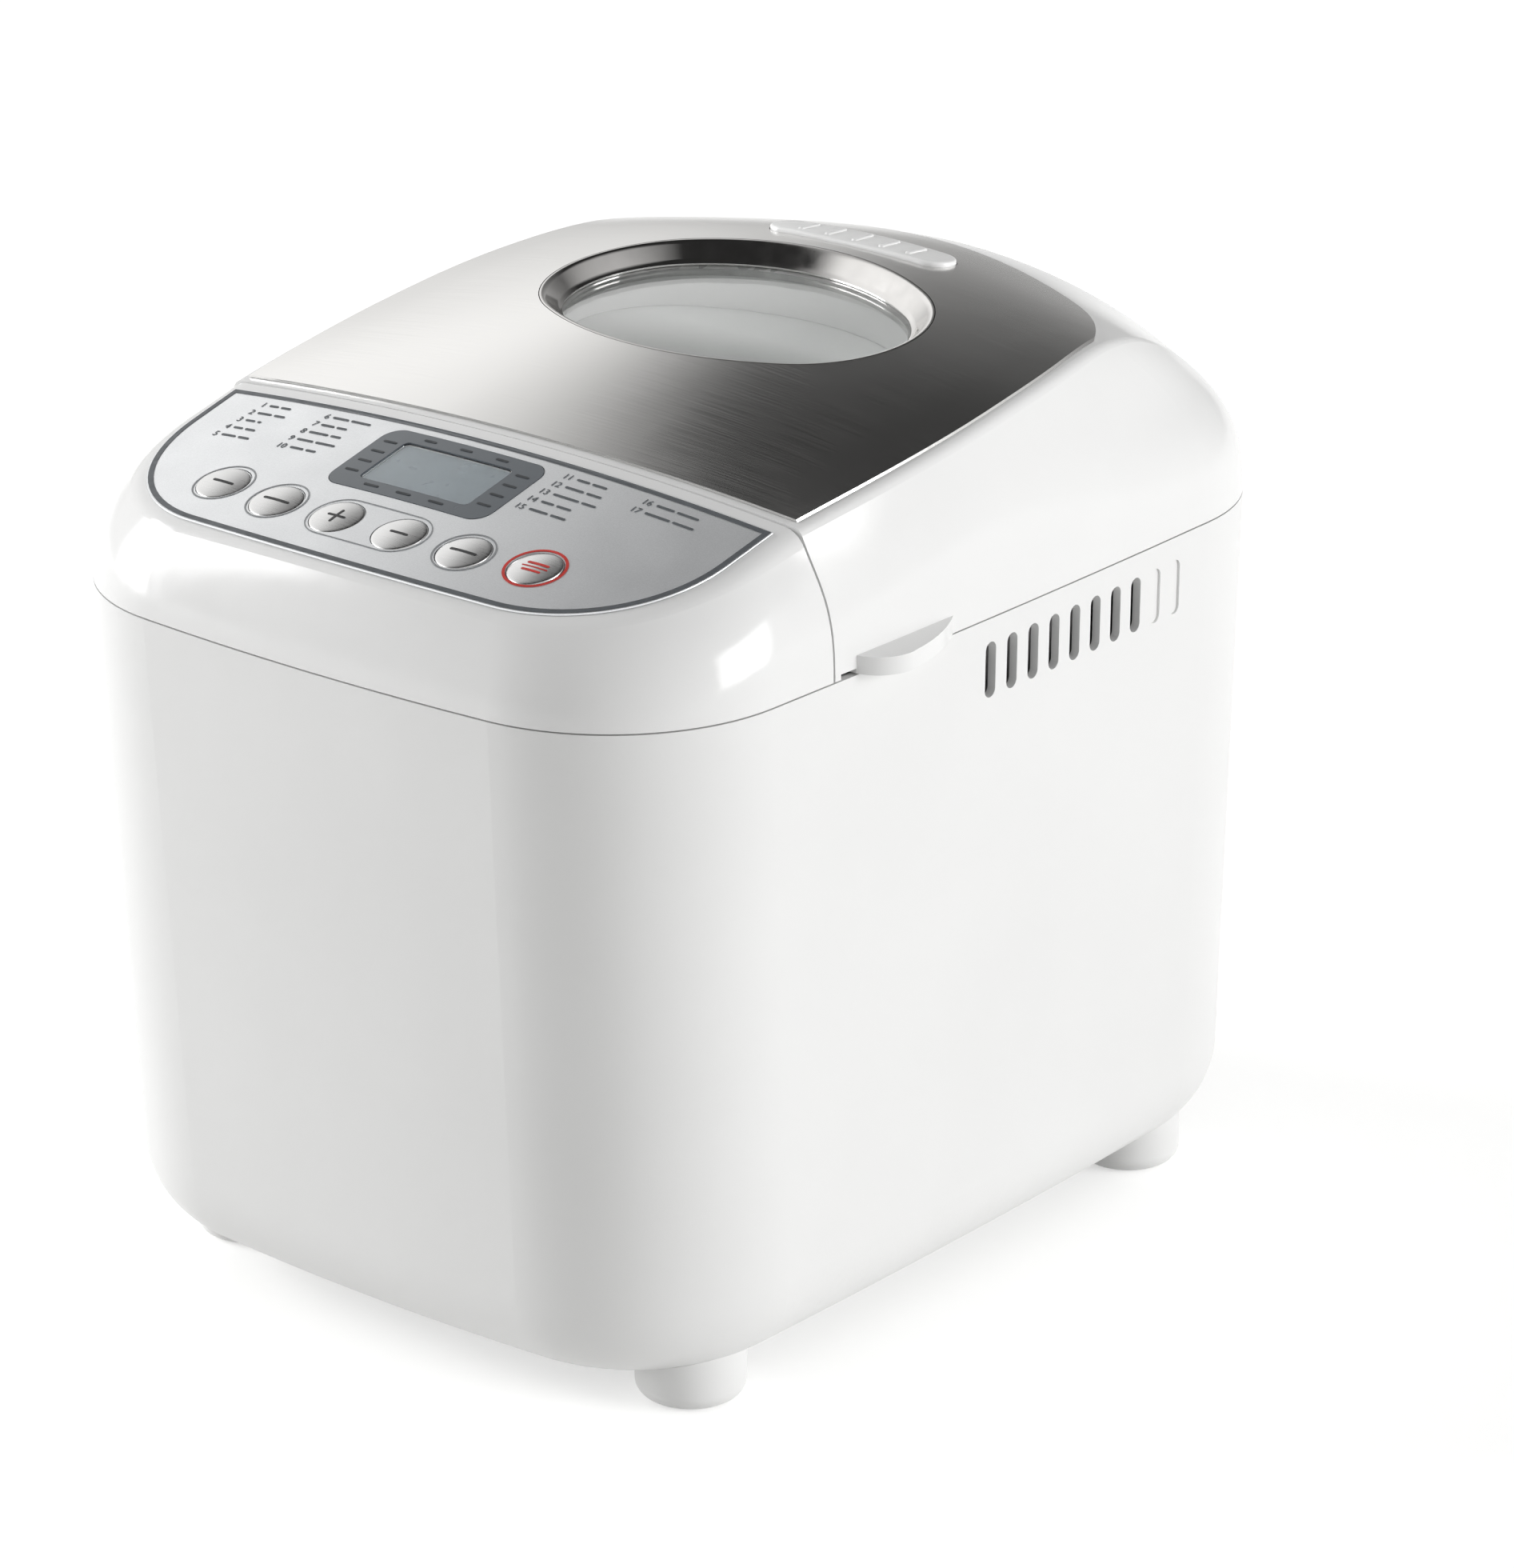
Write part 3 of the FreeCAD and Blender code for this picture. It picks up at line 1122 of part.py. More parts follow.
def pan_base():
    """The ring under the pan: it stands on the seat and carries the shaft's bearing."""
    base = Vector(0, CHAMBER_Y, PAN_BASE_BOTTOM)
    seat_top = CHAMBER_FLOOR + SEAT_HEIGHT
    shapes = [disc(BASE_RING_DIAMETER, PAN_BOTTOM - PAN_BASE_BOTTOM, base),
              disc(BASE_FLANGE_DIAMETER, BASE_FLANGE_THICKNESS, Vector(0, CHAMBER_Y, seat_top)),
              disc(PAN_BOSS_DIAMETER, PAN_FLOOR + PAN_BOSS_HEIGHT - PAN_BASE_BOTTOM, base)]
    room = disc(BASE_RING_BORE, PAN_BOTTOM - BASE_TOP_THICKNESS - PAN_BASE_BOTTOM, base)
    bore = disc(PAN_SHAFT_DIAMETER + 2 * SHAFT_CLEARANCE, OVERALL_HEIGHT, Vector(0, CHAMBER_Y, 0))
    return join(shapes).cut([room, bore])


def pan_seat():
    """The ring on the oven's floor that holds the pan's base."""
    return ring(SEAT_DIAMETER, BASE_RING_DIAMETER + 2 * SEAT_CLEARANCE, SEAT_HEIGHT,
                Vector(0, CHAMBER_Y, CHAMBER_FLOOR))


def handle_pivots():
    """The ears riveted to the ends of the pan, with the pins of the handle."""
    solid = pan_solid()
    low = HANDLE_HEIGHT - EAR_HEIGHT
    half = EAR_WIDTH / 2
    shapes = []
    for side in (-1, 1):
        edge = side * (PAN_TOP_HALF_X + PAN_BEAD)
        face = side * HANDLE_INNER_X
        inner = side * (PAN_TOP_HALF_X - PAN_DRAFT)
        ear = box(min(edge, face), max(edge, face), CHAMBER_Y - half, CHAMBER_Y + half,
                  low, HANDLE_HEIGHT + EAR_WIDTH / 4)
        pad = box(min(inner, face), max(inner, face), CHAMBER_Y - half, CHAMBER_Y + half,
                  low, PAN_TOP - PAN_BEAD_HEIGHT)
        pin = disc(HANDLE_PIN_DIAMETER, HANDLE_EYE_WIDTH + 2 * HANDLE_SIDE_GAP,
                   Vector(face, CHAMBER_Y, HANDLE_HEIGHT), Vector(side, 0, 0))
        shapes.append(join([ear, pad, pin]).cut(solid))
    return Part.makeCompound(shapes)


def pan_handle():
    """The bail: an eye and a leg at each end, and the bar across."""
    shapes = []
    inner = HANDLE_INNER_X + HANDLE_SIDE_GAP
    outer = inner + HANDLE_EYE_WIDTH
    bar_y = CHAMBER_Y + HANDLE_REACH
    half = HANDLE_WIRE / 2
    for side in (-1, 1):
        eye = disc(HANDLE_EYE_DIAMETER, HANDLE_EYE_WIDTH,
                   Vector(side * inner, CHAMBER_Y, HANDLE_HEIGHT), Vector(side, 0, 0))
        leg = box(min(side * inner, side * outer), max(side * inner, side * outer),
                  CHAMBER_Y, bar_y, HANDLE_HEIGHT - half, HANDLE_HEIGHT + half)
        shapes += [eye, leg]
    bar = disc(HANDLE_WIRE, 2 * outer, Vector(-outer, bar_y, HANDLE_HEIGHT), Vector(1, 0, 0))
    bore = disc(HANDLE_PIN_DIAMETER + 2 * HANDLE_PIN_CLEARANCE, 2 * outer,
                Vector(-outer, CHAMBER_Y, HANDLE_HEIGHT), Vector(1, 0, 0))
    return join(shapes + [bar]).cut(bore)


def window_prism(margin, bottom, top):
    """An upright prism over the lid's window, drawn in by margin."""
    outline = oval(WINDOW_HALF_LENGTH - margin, WINDOW_HALF_WIDTH - margin, WINDOW_END_RADIUS - margin,
                   WINDOW_Y, bottom)
    return plate(outline, top - bottom)


def vent_prism(clearance, bottom, top):
    """An upright prism over the steam vent."""
    outline = stadium(VENT_LENGTH + 2 * clearance, VENT_WIDTH + 2 * clearance, 0, VENT_Y, bottom)
    return plate(outline, top - bottom)


def crown_layer(low, high):
    """The space between two levels over the lid's crown."""
    return crown_block(high).cut(crown_block(low))


def grip(side):
    """A finger grip on a side of the lid: fullest near its front, running out to the rear."""
    front = FRONT + GRIP_FRONT_SETBACK
    root = side * (HALF_WIDTH - COVER_WALL)
    reach = side * (HALF_WIDTH + GRIP_REACH)
    nose = Vector(side * (HALF_WIDTH + GRIP_REACH * 2 / 3), front + GRIP_CREST / 4, COVER_BOTTOM)
    start = Vector(root, front, COVER_BOTTOM)
    crest = Vector(reach, front + GRIP_CREST, COVER_BOTTOM)
    end = Vector(root, front + GRIP_LENGTH, COVER_BOTTOM)
    slack = Vector(side * (HALF_WIDTH + GRIP_REACH * 3 / 5), front + GRIP_LENGTH * 2 / 3, COVER_BOTTOM)
    edges = [Part.Arc(start, nose, crest).toShape(), Part.Arc(crest, slack, end).toShape(),
             Part.makeLine(end, start)]
    return plate(Part.Wire(edges), GRIP_THICKNESS)


def lid_shell():
    """The lid's plastic shell with its two grips."""
    room = box(-FAR, FAR, LID_FRONT + COVER_WALL, FAR, 0, FAR)
    hollow = shoulder_block(COVER_WALL).common(crown_block(-COVER_WALL)).common(room)
    low = LINER_BOTTOM + LINER_WALL
    bosses = [disc(SCREW_BOSS_DIAMETER, LID_BOSS_HEIGHT, Vector(x, y, low)).common(LID_SOLID)
              for x, y in LID_SCREW_PLACES]
    grips = [grip(side).cut(hollow) for side in (-1, 1)]
    shell = join([LID_SOLID.cut(hollow)] + bosses + grips)
    cuts = [window_prism(-WINDOW_CLEARANCE, PARTING_HEIGHT, OVERALL_HEIGHT),
            vent_prism(WINDOW_CLEARANCE, PARTING_HEIGHT, OVERALL_HEIGHT)]
    cuts += [pilot(Vector(x, y, LINER_BOTTOM), UP) for x, y in LID_SCREW_PLACES]
    slit_end = FRONT + GRIP_FRONT_SETBACK
    cuts.append(box(-FAR, FAR, LID_FRONT + COVER_WALL, slit_end, 0, COVER_BOTTOM + GRIP_SLIT_HEIGHT))
    return shell.cut(cuts)


def steel_outline():
    """The plan of the steel sheet: sides that spread to the front, round corners and a bowed rear edge."""
    lean = math.radians(STEEL_SIDE_LEAN)
    depth = STEEL_REAR_Y - STEEL_CORNER_Y
    bow = (STEEL_CORNER_X ** 2 + depth ** 2 - STEEL_CORNER ** 2) / (2 * (depth - STEEL_CORNER))
    centre = Vector(STEEL_CORNER_X, STEEL_CORNER_Y, PARTING_HEIGHT)
    rear = Vector(0, STEEL_REAR_Y, PARTING_HEIGHT)
    side = Vector(math.cos(lean), math.sin(lean), 0)
    behind = (centre - rear + Vector(0, bow, 0)).normalize()
    run = (STEEL_CORNER_Y + STEEL_CORNER * side.y - LID_FRONT - STEEL_FRONT_MARGIN) / side.x
    directions = (side, (side + behind).normalize(), behind)
    start, middle, end = (centre + direction * STEEL_CORNER for direction in directions)
    low = start + Vector(side.y, -side.x, 0) * run
    right = [low, start, middle, end]
    left = [Vector(-point.x, point.y, point.z) for point in right]
    return Part.Wire([
        Part.LineSegment(low, start).toShape(),
        Part.Arc(start, middle, end).toShape(),
        Part.Arc(end, rear, left[3]).toShape(),
        Part.Arc(left[3], left[2], left[1]).toShape(),
        Part.LineSegment(left[1], left[0]).toShape(),
        Part.LineSegment(left[0], low).toShape(),
    ])


def steel_cover():
    """The brushed steel sheet on the lid, with openings for the window and the vent."""
    sheet = shoulder_block(STEEL_EDGE_MARGIN).common(crown_layer(ADHESIVE, ADHESIVE + STEEL_THICKNESS))
    sheet = sheet.common(plate(steel_outline(), OVERALL_HEIGHT - PARTING_HEIGHT))
    cuts = [window_prism(-WINDOW_CLEARANCE, PARTING_HEIGHT, OVERALL_HEIGHT),
            vent_prism(WINDOW_CLEARANCE, PARTING_HEIGHT, OVERALL_HEIGHT)]
    return sheet.cut(cuts)


def window_bezel():
    """The polished ring that slopes down to the window's glass."""
    block = window_prism(0.0, PARTING_HEIGHT, OVERALL_HEIGHT + CORNER_RADIUS)
    block = block.common(crown_layer(-BEZEL_DEPTH, ADHESIVE + STEEL_THICKNESS))
    inner = window_prism(BEZEL_WIDTH, PARTING_HEIGHT, OVERALL_HEIGHT)
    slope_top = CROWN_HEIGHT + STEEL_THICKNESS + BEZEL_SLOPE_RISE
    slope_low = slope_top - BEZEL_SLOPE_DROP
    wires = [oval(WINDOW_HALF_LENGTH - margin, WINDOW_HALF_WIDTH - margin, WINDOW_END_RADIUS - margin,
                  WINDOW_Y, z)
             for margin, z in ((BEZEL_LIP, slope_top), (BEZEL_WIDTH, slope_low))]
    return block.cut([inner, Part.makeLoft(wires, True, True)])


def outer_glass():
    """The curved window pane under the bezel."""
    pane = window_prism(GLASS_MARGIN, PARTING_HEIGHT, OVERALL_HEIGHT)
    return pane.common(crown_layer(-BEZEL_DEPTH - GLASS_THICKNESS, -BEZEL_DEPTH))


def glass_gasket():
    """The soft ring under the window pane."""
    low = -BEZEL_DEPTH - GLASS_THICKNESS - GLASS_GASKET_THICKNESS
    band = window_prism(GLASS_MARGIN, PARTING_HEIGHT, OVERALL_HEIGHT)
    band = band.cut(window_prism(GLASS_MARGIN + GLASS_GASKET_WIDTH, PARTING_HEIGHT, OVERALL_HEIGHT))
    return band.common(crown_layer(low, -BEZEL_DEPTH - GLASS_THICKNESS))


def inner_glass():
    """The flat pane on the lining's ceiling."""
    return window_prism(GLASS_MARGIN, LINER_TOP, LINER_TOP + GLASS_THICKNESS)


def liner_hat(inset, bottom, top):
    """The raised middle of the lid's lining, drawn in by inset."""
    outlines = []
    for z, share in ((bottom, 0), (top, 1)):
        half_x = LINER_HALF_X - LINER_DRAFT_SIDE * share - inset
        half_y = LINER_HALF_Y - LINER_DRAFT_FRONT * share - inset
        outlines.append(rounded_rectangle(half_x, half_y, CHAMBER_CORNER, CHAMBER_Y, z))
    return Part.makeLoft(outlines, True, True)


def lid_liner():
    """The lid's inner lining: a raised hat with a flange that closes the shell."""
    wall = COVER_WALL + LINER_FLANGE_GAP
    flange = plate(tub_outline(PARTING_HEIGHT, wall).translate(Vector(0, 0, LINER_BOTTOM - PARTING_HEIGHT)),
                   LINER_WALL)
    flange = flange.common(box(-FAR, FAR, LID_FRONT + wall, FAR, 0, FAR))
    hat = join([liner_hat(0.0, LINER_BOTTOM, LINER_TOP), flange])
    cuts = [liner_hat(LINER_WALL, LINER_BOTTOM, LINER_TOP - LINER_WALL),
            window_prism(GLASS_MARGIN + GLASS_GASKET_WIDTH, PARTING_HEIGHT, OVERALL_HEIGHT)]
    cuts += [disc(SCREW_DIAMETER, OVERALL_HEIGHT, Vector(x, y, 0)) for x, y in LID_SCREW_PLACES]
    return hat.cut(cuts)


def lid_seal():
    """The silicone ring between the lid's lining and the deck."""
    bottom = DECK_TOP + SEAL_GAP
    outer = chamber_prism(LINER_MARGIN / 2 + SEAL_WIDTH, bottom, LINER_BOTTOM)
    return outer.cut(chamber_prism(LINER_MARGIN / 2, bottom, LINER_BOTTOM))


def lid_screws():
    """Screws that hold the lining in the lid."""
    return Part.makeCompound([screw(Vector(x, y, LINER_BOTTOM), UP) for x, y in LID_SCREW_PLACES])


def vent_cap():
    """The ribbed cap of the steam vent, the highest piece."""
    low = crown_height(VENT_LENGTH / 2, VENT_Y) - VENT_DEPTH
    cap = vent_prism(0.0, low, OVERALL_HEIGHT)
    top = [edge for edge in cap.Edges if edge.BoundBox.ZMin > OVERALL_HEIGHT - FIT_GAP]
    cap = cap.makeFillet(VENT_EDGE, top)
    cuts = []
    for index in range(VENT_SLOTS):
        x = VENT_SLOT_PITCH * (index - (VENT_SLOTS - 1) / 2)
        half = VENT_SLOT_WIDTH / 2
        reach = VENT_WIDTH / 2 - 2 * VENT_EDGE
        cuts.append(box(x - half, x + half, VENT_Y - reach, VENT_Y + reach,
                        OVERALL_HEIGHT - VENT_SLOT_DEPTH, OVERALL_HEIGHT))
    return cap.cut(cuts)


def hinge_profile(corners, radius, x, width):
    """A round knuckle joined to a straight-sided arm, as thick as width."""
    points = [Vector(x, y, z) for y, z in corners]
    arm = Part.Face(Part.makePolygon(points + points[:1])).extrude(Vector(width, 0, 0))
    knuckle = disc(2 * radius, width, Vector(x, HINGE_Y, HINGE_AXIS_HEIGHT), Vector(1, 0, 0))
    return join([arm, knuckle])


def hinge_bore(clearance):
    """The bore of both hinges."""
    return disc(HINGE_PIN_DIAMETER + 2 * clearance, 2 * HALF_WIDTH,
                Vector(-HALF_WIDTH, HINGE_Y, HINGE_AXIS_HEIGHT), Vector(1, 0, 0))


def hinge_base():
    """The two hinge brackets on the tub's rear wall."""
    low = HINGE_AXIS_HEIGHT - HINGE_RADIUS - HINGE_PLATE_HEIGHT / 2
    root = REAR - CORNER_RADIUS / 4
    corners = [(root, low), (root, HINGE_AXIS_HEIGHT), (HINGE_Y, HINGE_AXIS_HEIGHT),
               (HINGE_Y, HINGE_AXIS_HEIGHT - HINGE_RADIUS)]
    inner = HINGE_KNUCKLE_WIDTH / 2 + HINGE_SIDE_GAP
    outer = inner + HINGE_LUG_THICKNESS
    plate_face = HINGE_Y - HINGE_RADIUS - HINGE_SIDE_GAP
    shapes = []
    for x in (-HINGE_X, HINGE_X):
        lugs = [hinge_profile(corners, HINGE_RADIUS, x + start, HINGE_LUG_THICKNESS)
                for start in (-outer, inner)]
        back = box(x - outer, x + outer, root, plate_face, low, low + HINGE_PLATE_HEIGHT)
        shapes.append(join(lugs + [back]).cut([TUB_SOLID, hinge_bore(0.0)]))
    return Part.makeCompound(shapes)


def lid_hinge_arms():
    """The two arms on the lid's rear wall that turn on the hinge pins."""
    low = COVER_BOTTOM + FIT_GAP
    root = REAR - CORNER_RADIUS / 4
    radius = HINGE_RADIUS - HINGE_SIDE_GAP
    top = low + HINGE_ARM_HEIGHT
    corners = [(root, low), (root, top), (HINGE_Y - radius, top - HINGE_ARM_DROP),
               (HINGE_Y, HINGE_AXIS_HEIGHT + radius), (HINGE_Y, low)]
    shapes = []
    for x in (-HINGE_X, HINGE_X):
        arm = hinge_profile(corners, radius, x - HINGE_KNUCKLE_WIDTH / 2, HINGE_KNUCKLE_WIDTH)
        shapes.append(arm.cut([LID_SOLID, hinge_bore(HINGE_PIN_CLEARANCE)]))
    return Part.makeCompound(shapes)


def hinge_pins():
    """The two hinge pins, held in the brackets."""
    reach = HINGE_KNUCKLE_WIDTH / 2 + HINGE_SIDE_GAP + HINGE_LUG_THICKNESS
    along = Vector(1, 0, 0)
    pins = [disc(HINGE_PIN_DIAMETER, 2 * reach, Vector(x - reach, HINGE_Y, HINGE_AXIS_HEIGHT), along)
            for x in (-HINGE_X, HINGE_X)]
    return Part.makeCompound(pins)


def cord_gland():
    """The bush in the rear wall where the mains lead comes out."""
    along = Vector(0, 1, 0)
    wall = REAR + REAR_BOW
    flange = disc(GLAND_DIAMETER + 2 * GLAND_FLANGE, GLAND_LENGTH,
                  Vector(GLAND_X, wall - GLAND_LENGTH, GLAND_HEIGHT), along).cut(TUB_SOLID)
    sleeve = disc(GLAND_DIAMETER, 2 * GLAND_LENGTH,
                  Vector(GLAND_X, wall - 2 * GLAND_LENGTH, GLAND_HEIGHT), along)
    bore = disc(GLAND_BORE, 2 * CHAMBER_REAR_GAP, Vector(GLAND_X, CHAMBER_REAR, GLAND_HEIGHT), along)
    return join([flange, sleeve]).cut(bore)


def pieces():
    """Every piece of the machine, by name."""
    front_foot = FRONT + FOOT_FRONT_SETBACK
    rear_foot = REAR - FOOT_REAR_SETBACK
    made = {
        "body_housing": body_housing(),
        "base_plate": base_plate(),
        "foot_front_left": foot(-FOOT_X, front_foot),
        "foot_front_right": foot(FOOT_X, front_foot),
        "foot_rear_left": foot(-FOOT_X, rear_foot),
        "foot_rear_right": foot(FOOT_X, rear_foot),
        "case_screws": case_screws(),
        "front_cover": front_cover(),
        "control_overlay": control_overlay(),
        "display_frame": display_frame(),
        "display_lens": display_lens(),
        "display_module": display_module(),
        "control_board": control_board(),
        "board_screws": board_screws(),
        "key_switches": key_switches(),
        "chamber_deck": chamber_deck(),
        "oven_chamber": oven_chamber(),
        "temperature_sensor": temperature_sensor(),
        "heating_element": heating_element(),
        "heater_bushings": heater_bushings(),
        "chassis_plate": chassis_plate(),
        "power_board": power_board(),
        "power_transformer": power_transformer(),
        "ribbon_cable": ribbon_cable(),
        "motor_bracket": motor_bracket(),
        "motor_case": motor_case(),
        "motor_rotor": motor_rotor(),
        "motor_pulley": pulley(MOTOR_PULLEY_DIAMETER, MOTOR_SHAFT_DIAMETER, MOTOR_Y, False),
        "driven_pulley": pulley(DRIVEN_PULLEY_DIAMETER, DRIVE_SHAFT_DIAMETER, CHAMBER_Y, True),
        "drive_belt": drive_belt(),
        "drive_bearing": drive_bearing(),
        "drive_shaft": drive_shaft(),
        "drive_coupling": drive_coupling(),
        "pan_shaft": pan_shaft(),
        "kneading_paddle": kneading_paddle(),
        "bread_pan": bread_pan(),
        "pan_base": pan_base(),
        "pan_seat": pan_seat(),
        "handle_pivots": handle_pivots(),
        "pan_handle": pan_handle(),
        "lid_shell": lid_shell(),
        "steel_cover": steel_cover(),
        "window_bezel": window_bezel(),
        "outer_glass": outer_glass(),
        "glass_gasket": glass_gasket(),
        "inner_glass": inner_glass(),
        "lid_liner": lid_liner(),
        "lid_seal": lid_seal(),
        "lid_screws": lid_screws(),
        "vent_cap": vent_cap(),
        "lid_hinge_arms": lid_hinge_arms(),
        "hinge_base": hinge_base(),
        "hinge_pins": hinge_pins(),
        "cord_gland": cord_gland(),
    }
    for name, (x, y) in zip(BUTTON_NAMES, BUTTON_PLACES):
        made[name + "_button"] = button(x, y)
    return made


def main():
    """Write each piece to its own file."""
    os.makedirs("parts", exist_ok=True)
    for name, shape in pieces().items():
        if not shape.isValid():
            raise ValueError(name + " is not a valid shape")
        shape.exportStep(os.path.join("parts", name + ".step"))
        bounds = shape.BoundBox
        print(name, len(shape.Solids), round(shape.Volume / 1000, 2),
              [round(value, 1) for value in (bounds.XMin, bounds.XMax, bounds.YMin, bounds.YMax,
                                             bounds.ZMin, bounds.ZMax)])


main()
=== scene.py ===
"""Dresses the bread machine: finishes for its parts, the printed panel, its keys and window, and a studio."""
import math

import bpy
from mathutils import Matrix, Vector


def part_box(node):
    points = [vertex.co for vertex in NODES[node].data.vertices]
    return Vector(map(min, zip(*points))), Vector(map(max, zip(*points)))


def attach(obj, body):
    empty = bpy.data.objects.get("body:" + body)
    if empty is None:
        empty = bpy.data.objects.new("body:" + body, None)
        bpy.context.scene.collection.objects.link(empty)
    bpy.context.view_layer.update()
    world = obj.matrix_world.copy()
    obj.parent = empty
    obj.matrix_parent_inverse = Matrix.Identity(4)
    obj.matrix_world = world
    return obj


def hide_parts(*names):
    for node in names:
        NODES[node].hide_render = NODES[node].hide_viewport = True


bl_info = {
    "name": "Bread machine",
    "version": (1, 0, 0),
    "blender": (4, 5, 0),
    "location": "View3D > Sidebar > Bread machine",
    "description": "Finishes, printed panel, keys, window rim and studio of a bread machine",
    "category": "Object",
}

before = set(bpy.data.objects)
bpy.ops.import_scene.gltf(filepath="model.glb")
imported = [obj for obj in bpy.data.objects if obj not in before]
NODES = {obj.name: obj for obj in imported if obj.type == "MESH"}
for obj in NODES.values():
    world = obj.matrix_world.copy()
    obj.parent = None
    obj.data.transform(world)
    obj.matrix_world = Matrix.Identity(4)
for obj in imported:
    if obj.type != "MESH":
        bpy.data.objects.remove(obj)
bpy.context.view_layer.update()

MM = 0.001
KEYS = ("menu", "weight", "plus", "minus", "colour", "start")

# The lid's crown as in the solids: a long arc along Y, and an arch across that changes to both ends
CROWN_TOP = 293.4 * MM
CROWN_TOP_Y = 55.0 * MM
CROWN_RADIUS = 510.0 * MM
CROWN_REAR_Y = 64.0 * MM
CROWN_REAR_RADIUS = 300.0 * MM
CROWN_FRONT_Y = -91.4 * MM
CROWN_ARCH = 0.9
CROWN_FRONT_ARCH = -0.5
CROWN_REAR_ARCH = 1.2

# Points nearer than this count as one: in solid pieces, flat shapes and prints
MERGE = 0.002 * MM
FLAT_MERGE = 0.001 * MM
PRINT_MERGE = 0.0005 * MM

# Steps of a full circle and of a slot's end
CIRCLE_STEPS = 56
END_STEPS = 20

# Depth and corner of the printed bars that stand for words
BAR_DEPTH = 0.9 * MM
BAR_CORNER = 0.4 * MM

# Between these two levels lies most of a noise
NOISE_LOW = 0.3
NOISE_HIGH = 0.7


def length(name, description, value):
    """A size in millimetres that a user can change."""
    return bpy.props.FloatProperty(name=name, description=description, default=value * MM, unit="LENGTH")


def colour(name, description, value):
    """A colour that a user can change."""
    return bpy.props.FloatVectorProperty(name=name, description=description, default=value, subtype="COLOR",
                                         min=0.0, max=1.0)


class MachineSizes(bpy.types.PropertyGroup):
    """Sizes of the pieces that are added to the machine."""

    panel_rear: length("Panel rear", "Rear end of the printed panel", -97.2)
    panel_height: length("Panel height", "Height of the panel's rear middle", 271.3)
    panel_slope: bpy.props.FloatProperty(name="Panel slope", description="Rise of the panel per length",
                                         default=0.245)
    panel_arch: bpy.props.FloatProperty(name="Panel arch", description="Fall of the panel to its sides",
                                        default=0.45)
    sheet_rise: length("Sheet rise", "Height of the sheet over the housing", 0.72)
    panel_half_width: length("Panel half width", "Half the panel at its corners", 104.5)
    panel_front: length("Panel front", "Front end of the panel's corners", -166.0)
    panel_corner: length("Panel corner", "Radius of its front corners", 50.0)
    border_inset: length("Border inset", "Space outside the border line", 0.4)
    border_width: length("Border width", "Width of the border line", 1.7)
    key_diameter: length("Key diameter", "Diameter of a key", 16.8)
    key_pitch: length("Key pitch", "Distance between keys", 24.3)
    key_row_x: length("Key row x", "Middle of the key row", -3.1)
    key_row_y: length("Key row y", "Place of the key row", -148.8)
    key_row_bow: length("Key row bow", "How far the row's ends lie behind", 3.5)
    key_rise: length("Key rise", "Height of a key's dome", 1.3)
    key_edge: length("Key edge", "Height of a key's edge", 0.76)
    outline_width: length("Outline width", "Width of the lines round the keys", 0.5)
    outline_gap: length("Outline gap", "Space between a key and its line", 0.7)
    print_lift: length("Print lift", "Space between the sheet and its print", 0.1)
    print_thickness: length("Print thickness", "Thickness of lines and signs", 0.06)
    display_x: length("Display x", "Middle of the display", -4.5)
    display_y: length("Display y", "Middle of the display", -118.0)
    display_width: length("Display width", "Width of the display's frame", 62.0)
    display_depth: length("Display depth", "Depth of the display's frame", 32.0)
    screen_width: length("Screen width", "Width of the display's pane", 42.0)
    screen_depth: length("Screen depth", "Depth of the display's pane", 21.0)
    window_y: length("Window y", "Middle of the lid's window", 13.0)
    window_half_length: length("Window half length", "Half the window's length", 66.0)
    window_half_width: length("Window half width", "Half the window's width", 47.0)
    window_end_radius: length("Window end radius", "Radius of the window's ends", 40.0)
    vent_y: length("Vent y", "Middle of the steam vent", 75.0)
    vent_length: length("Vent length", "Length of the steam vent", 70.0)
    vent_width: length("Vent width", "Width of the steam vent", 14.0)
    vent_top: length("Vent top", "Height of the steam vent", 295.7)


class MachineColours(bpy.types.PropertyGroup):
    """Colours of the machine's finishes."""

    white: colour("White", "Glossy plastic of the lid and the controls", (0.86, 0.86, 0.855))
    tub_white: colour("Tub white", "Satin plastic of the tub", (0.84, 0.84, 0.835))
    steel: colour("Steel", "Brushed steel of the lid", (0.74, 0.735, 0.725))
    polished: colour("Polished steel", "Rim of the window", (0.66, 0.65, 0.64))
    silver: colour("Silver print", "Printed sheet of the panel", (0.86, 0.875, 0.89))
    slate: colour("Slate", "Border line and small print", (0.1, 0.11, 0.12))
    graphite: colour("Graphite", "Frame of the display", (0.12, 0.135, 0.15))
    screen: colour("Screen", "Unlit display", (0.165, 0.205, 0.225))
    key: colour("Key", "Silver of the keys", (0.74, 0.74, 0.74))
    red: colour("Red", "Line round the start key", (0.6, 0.03, 0.02))
    coating: colour("Coating", "Dark coating of the loaf pan", (0.045, 0.045, 0.048))
    floor: colour("Floor", "Studio floor", (0.8, 0.8, 0.79))


def sizes():
    """The machine's sizes."""
    return bpy.context.scene.machine_sizes


def colours():
    """The machine's colours."""
    return bpy.context.scene.machine_colours


def panel_z(x, y):
    """Height of the printed sheet at a place."""
    s = sizes()
    return s.panel_height + s.panel_slope * (y - s.panel_rear) - s.panel_arch * x * x + s.sheet_rise


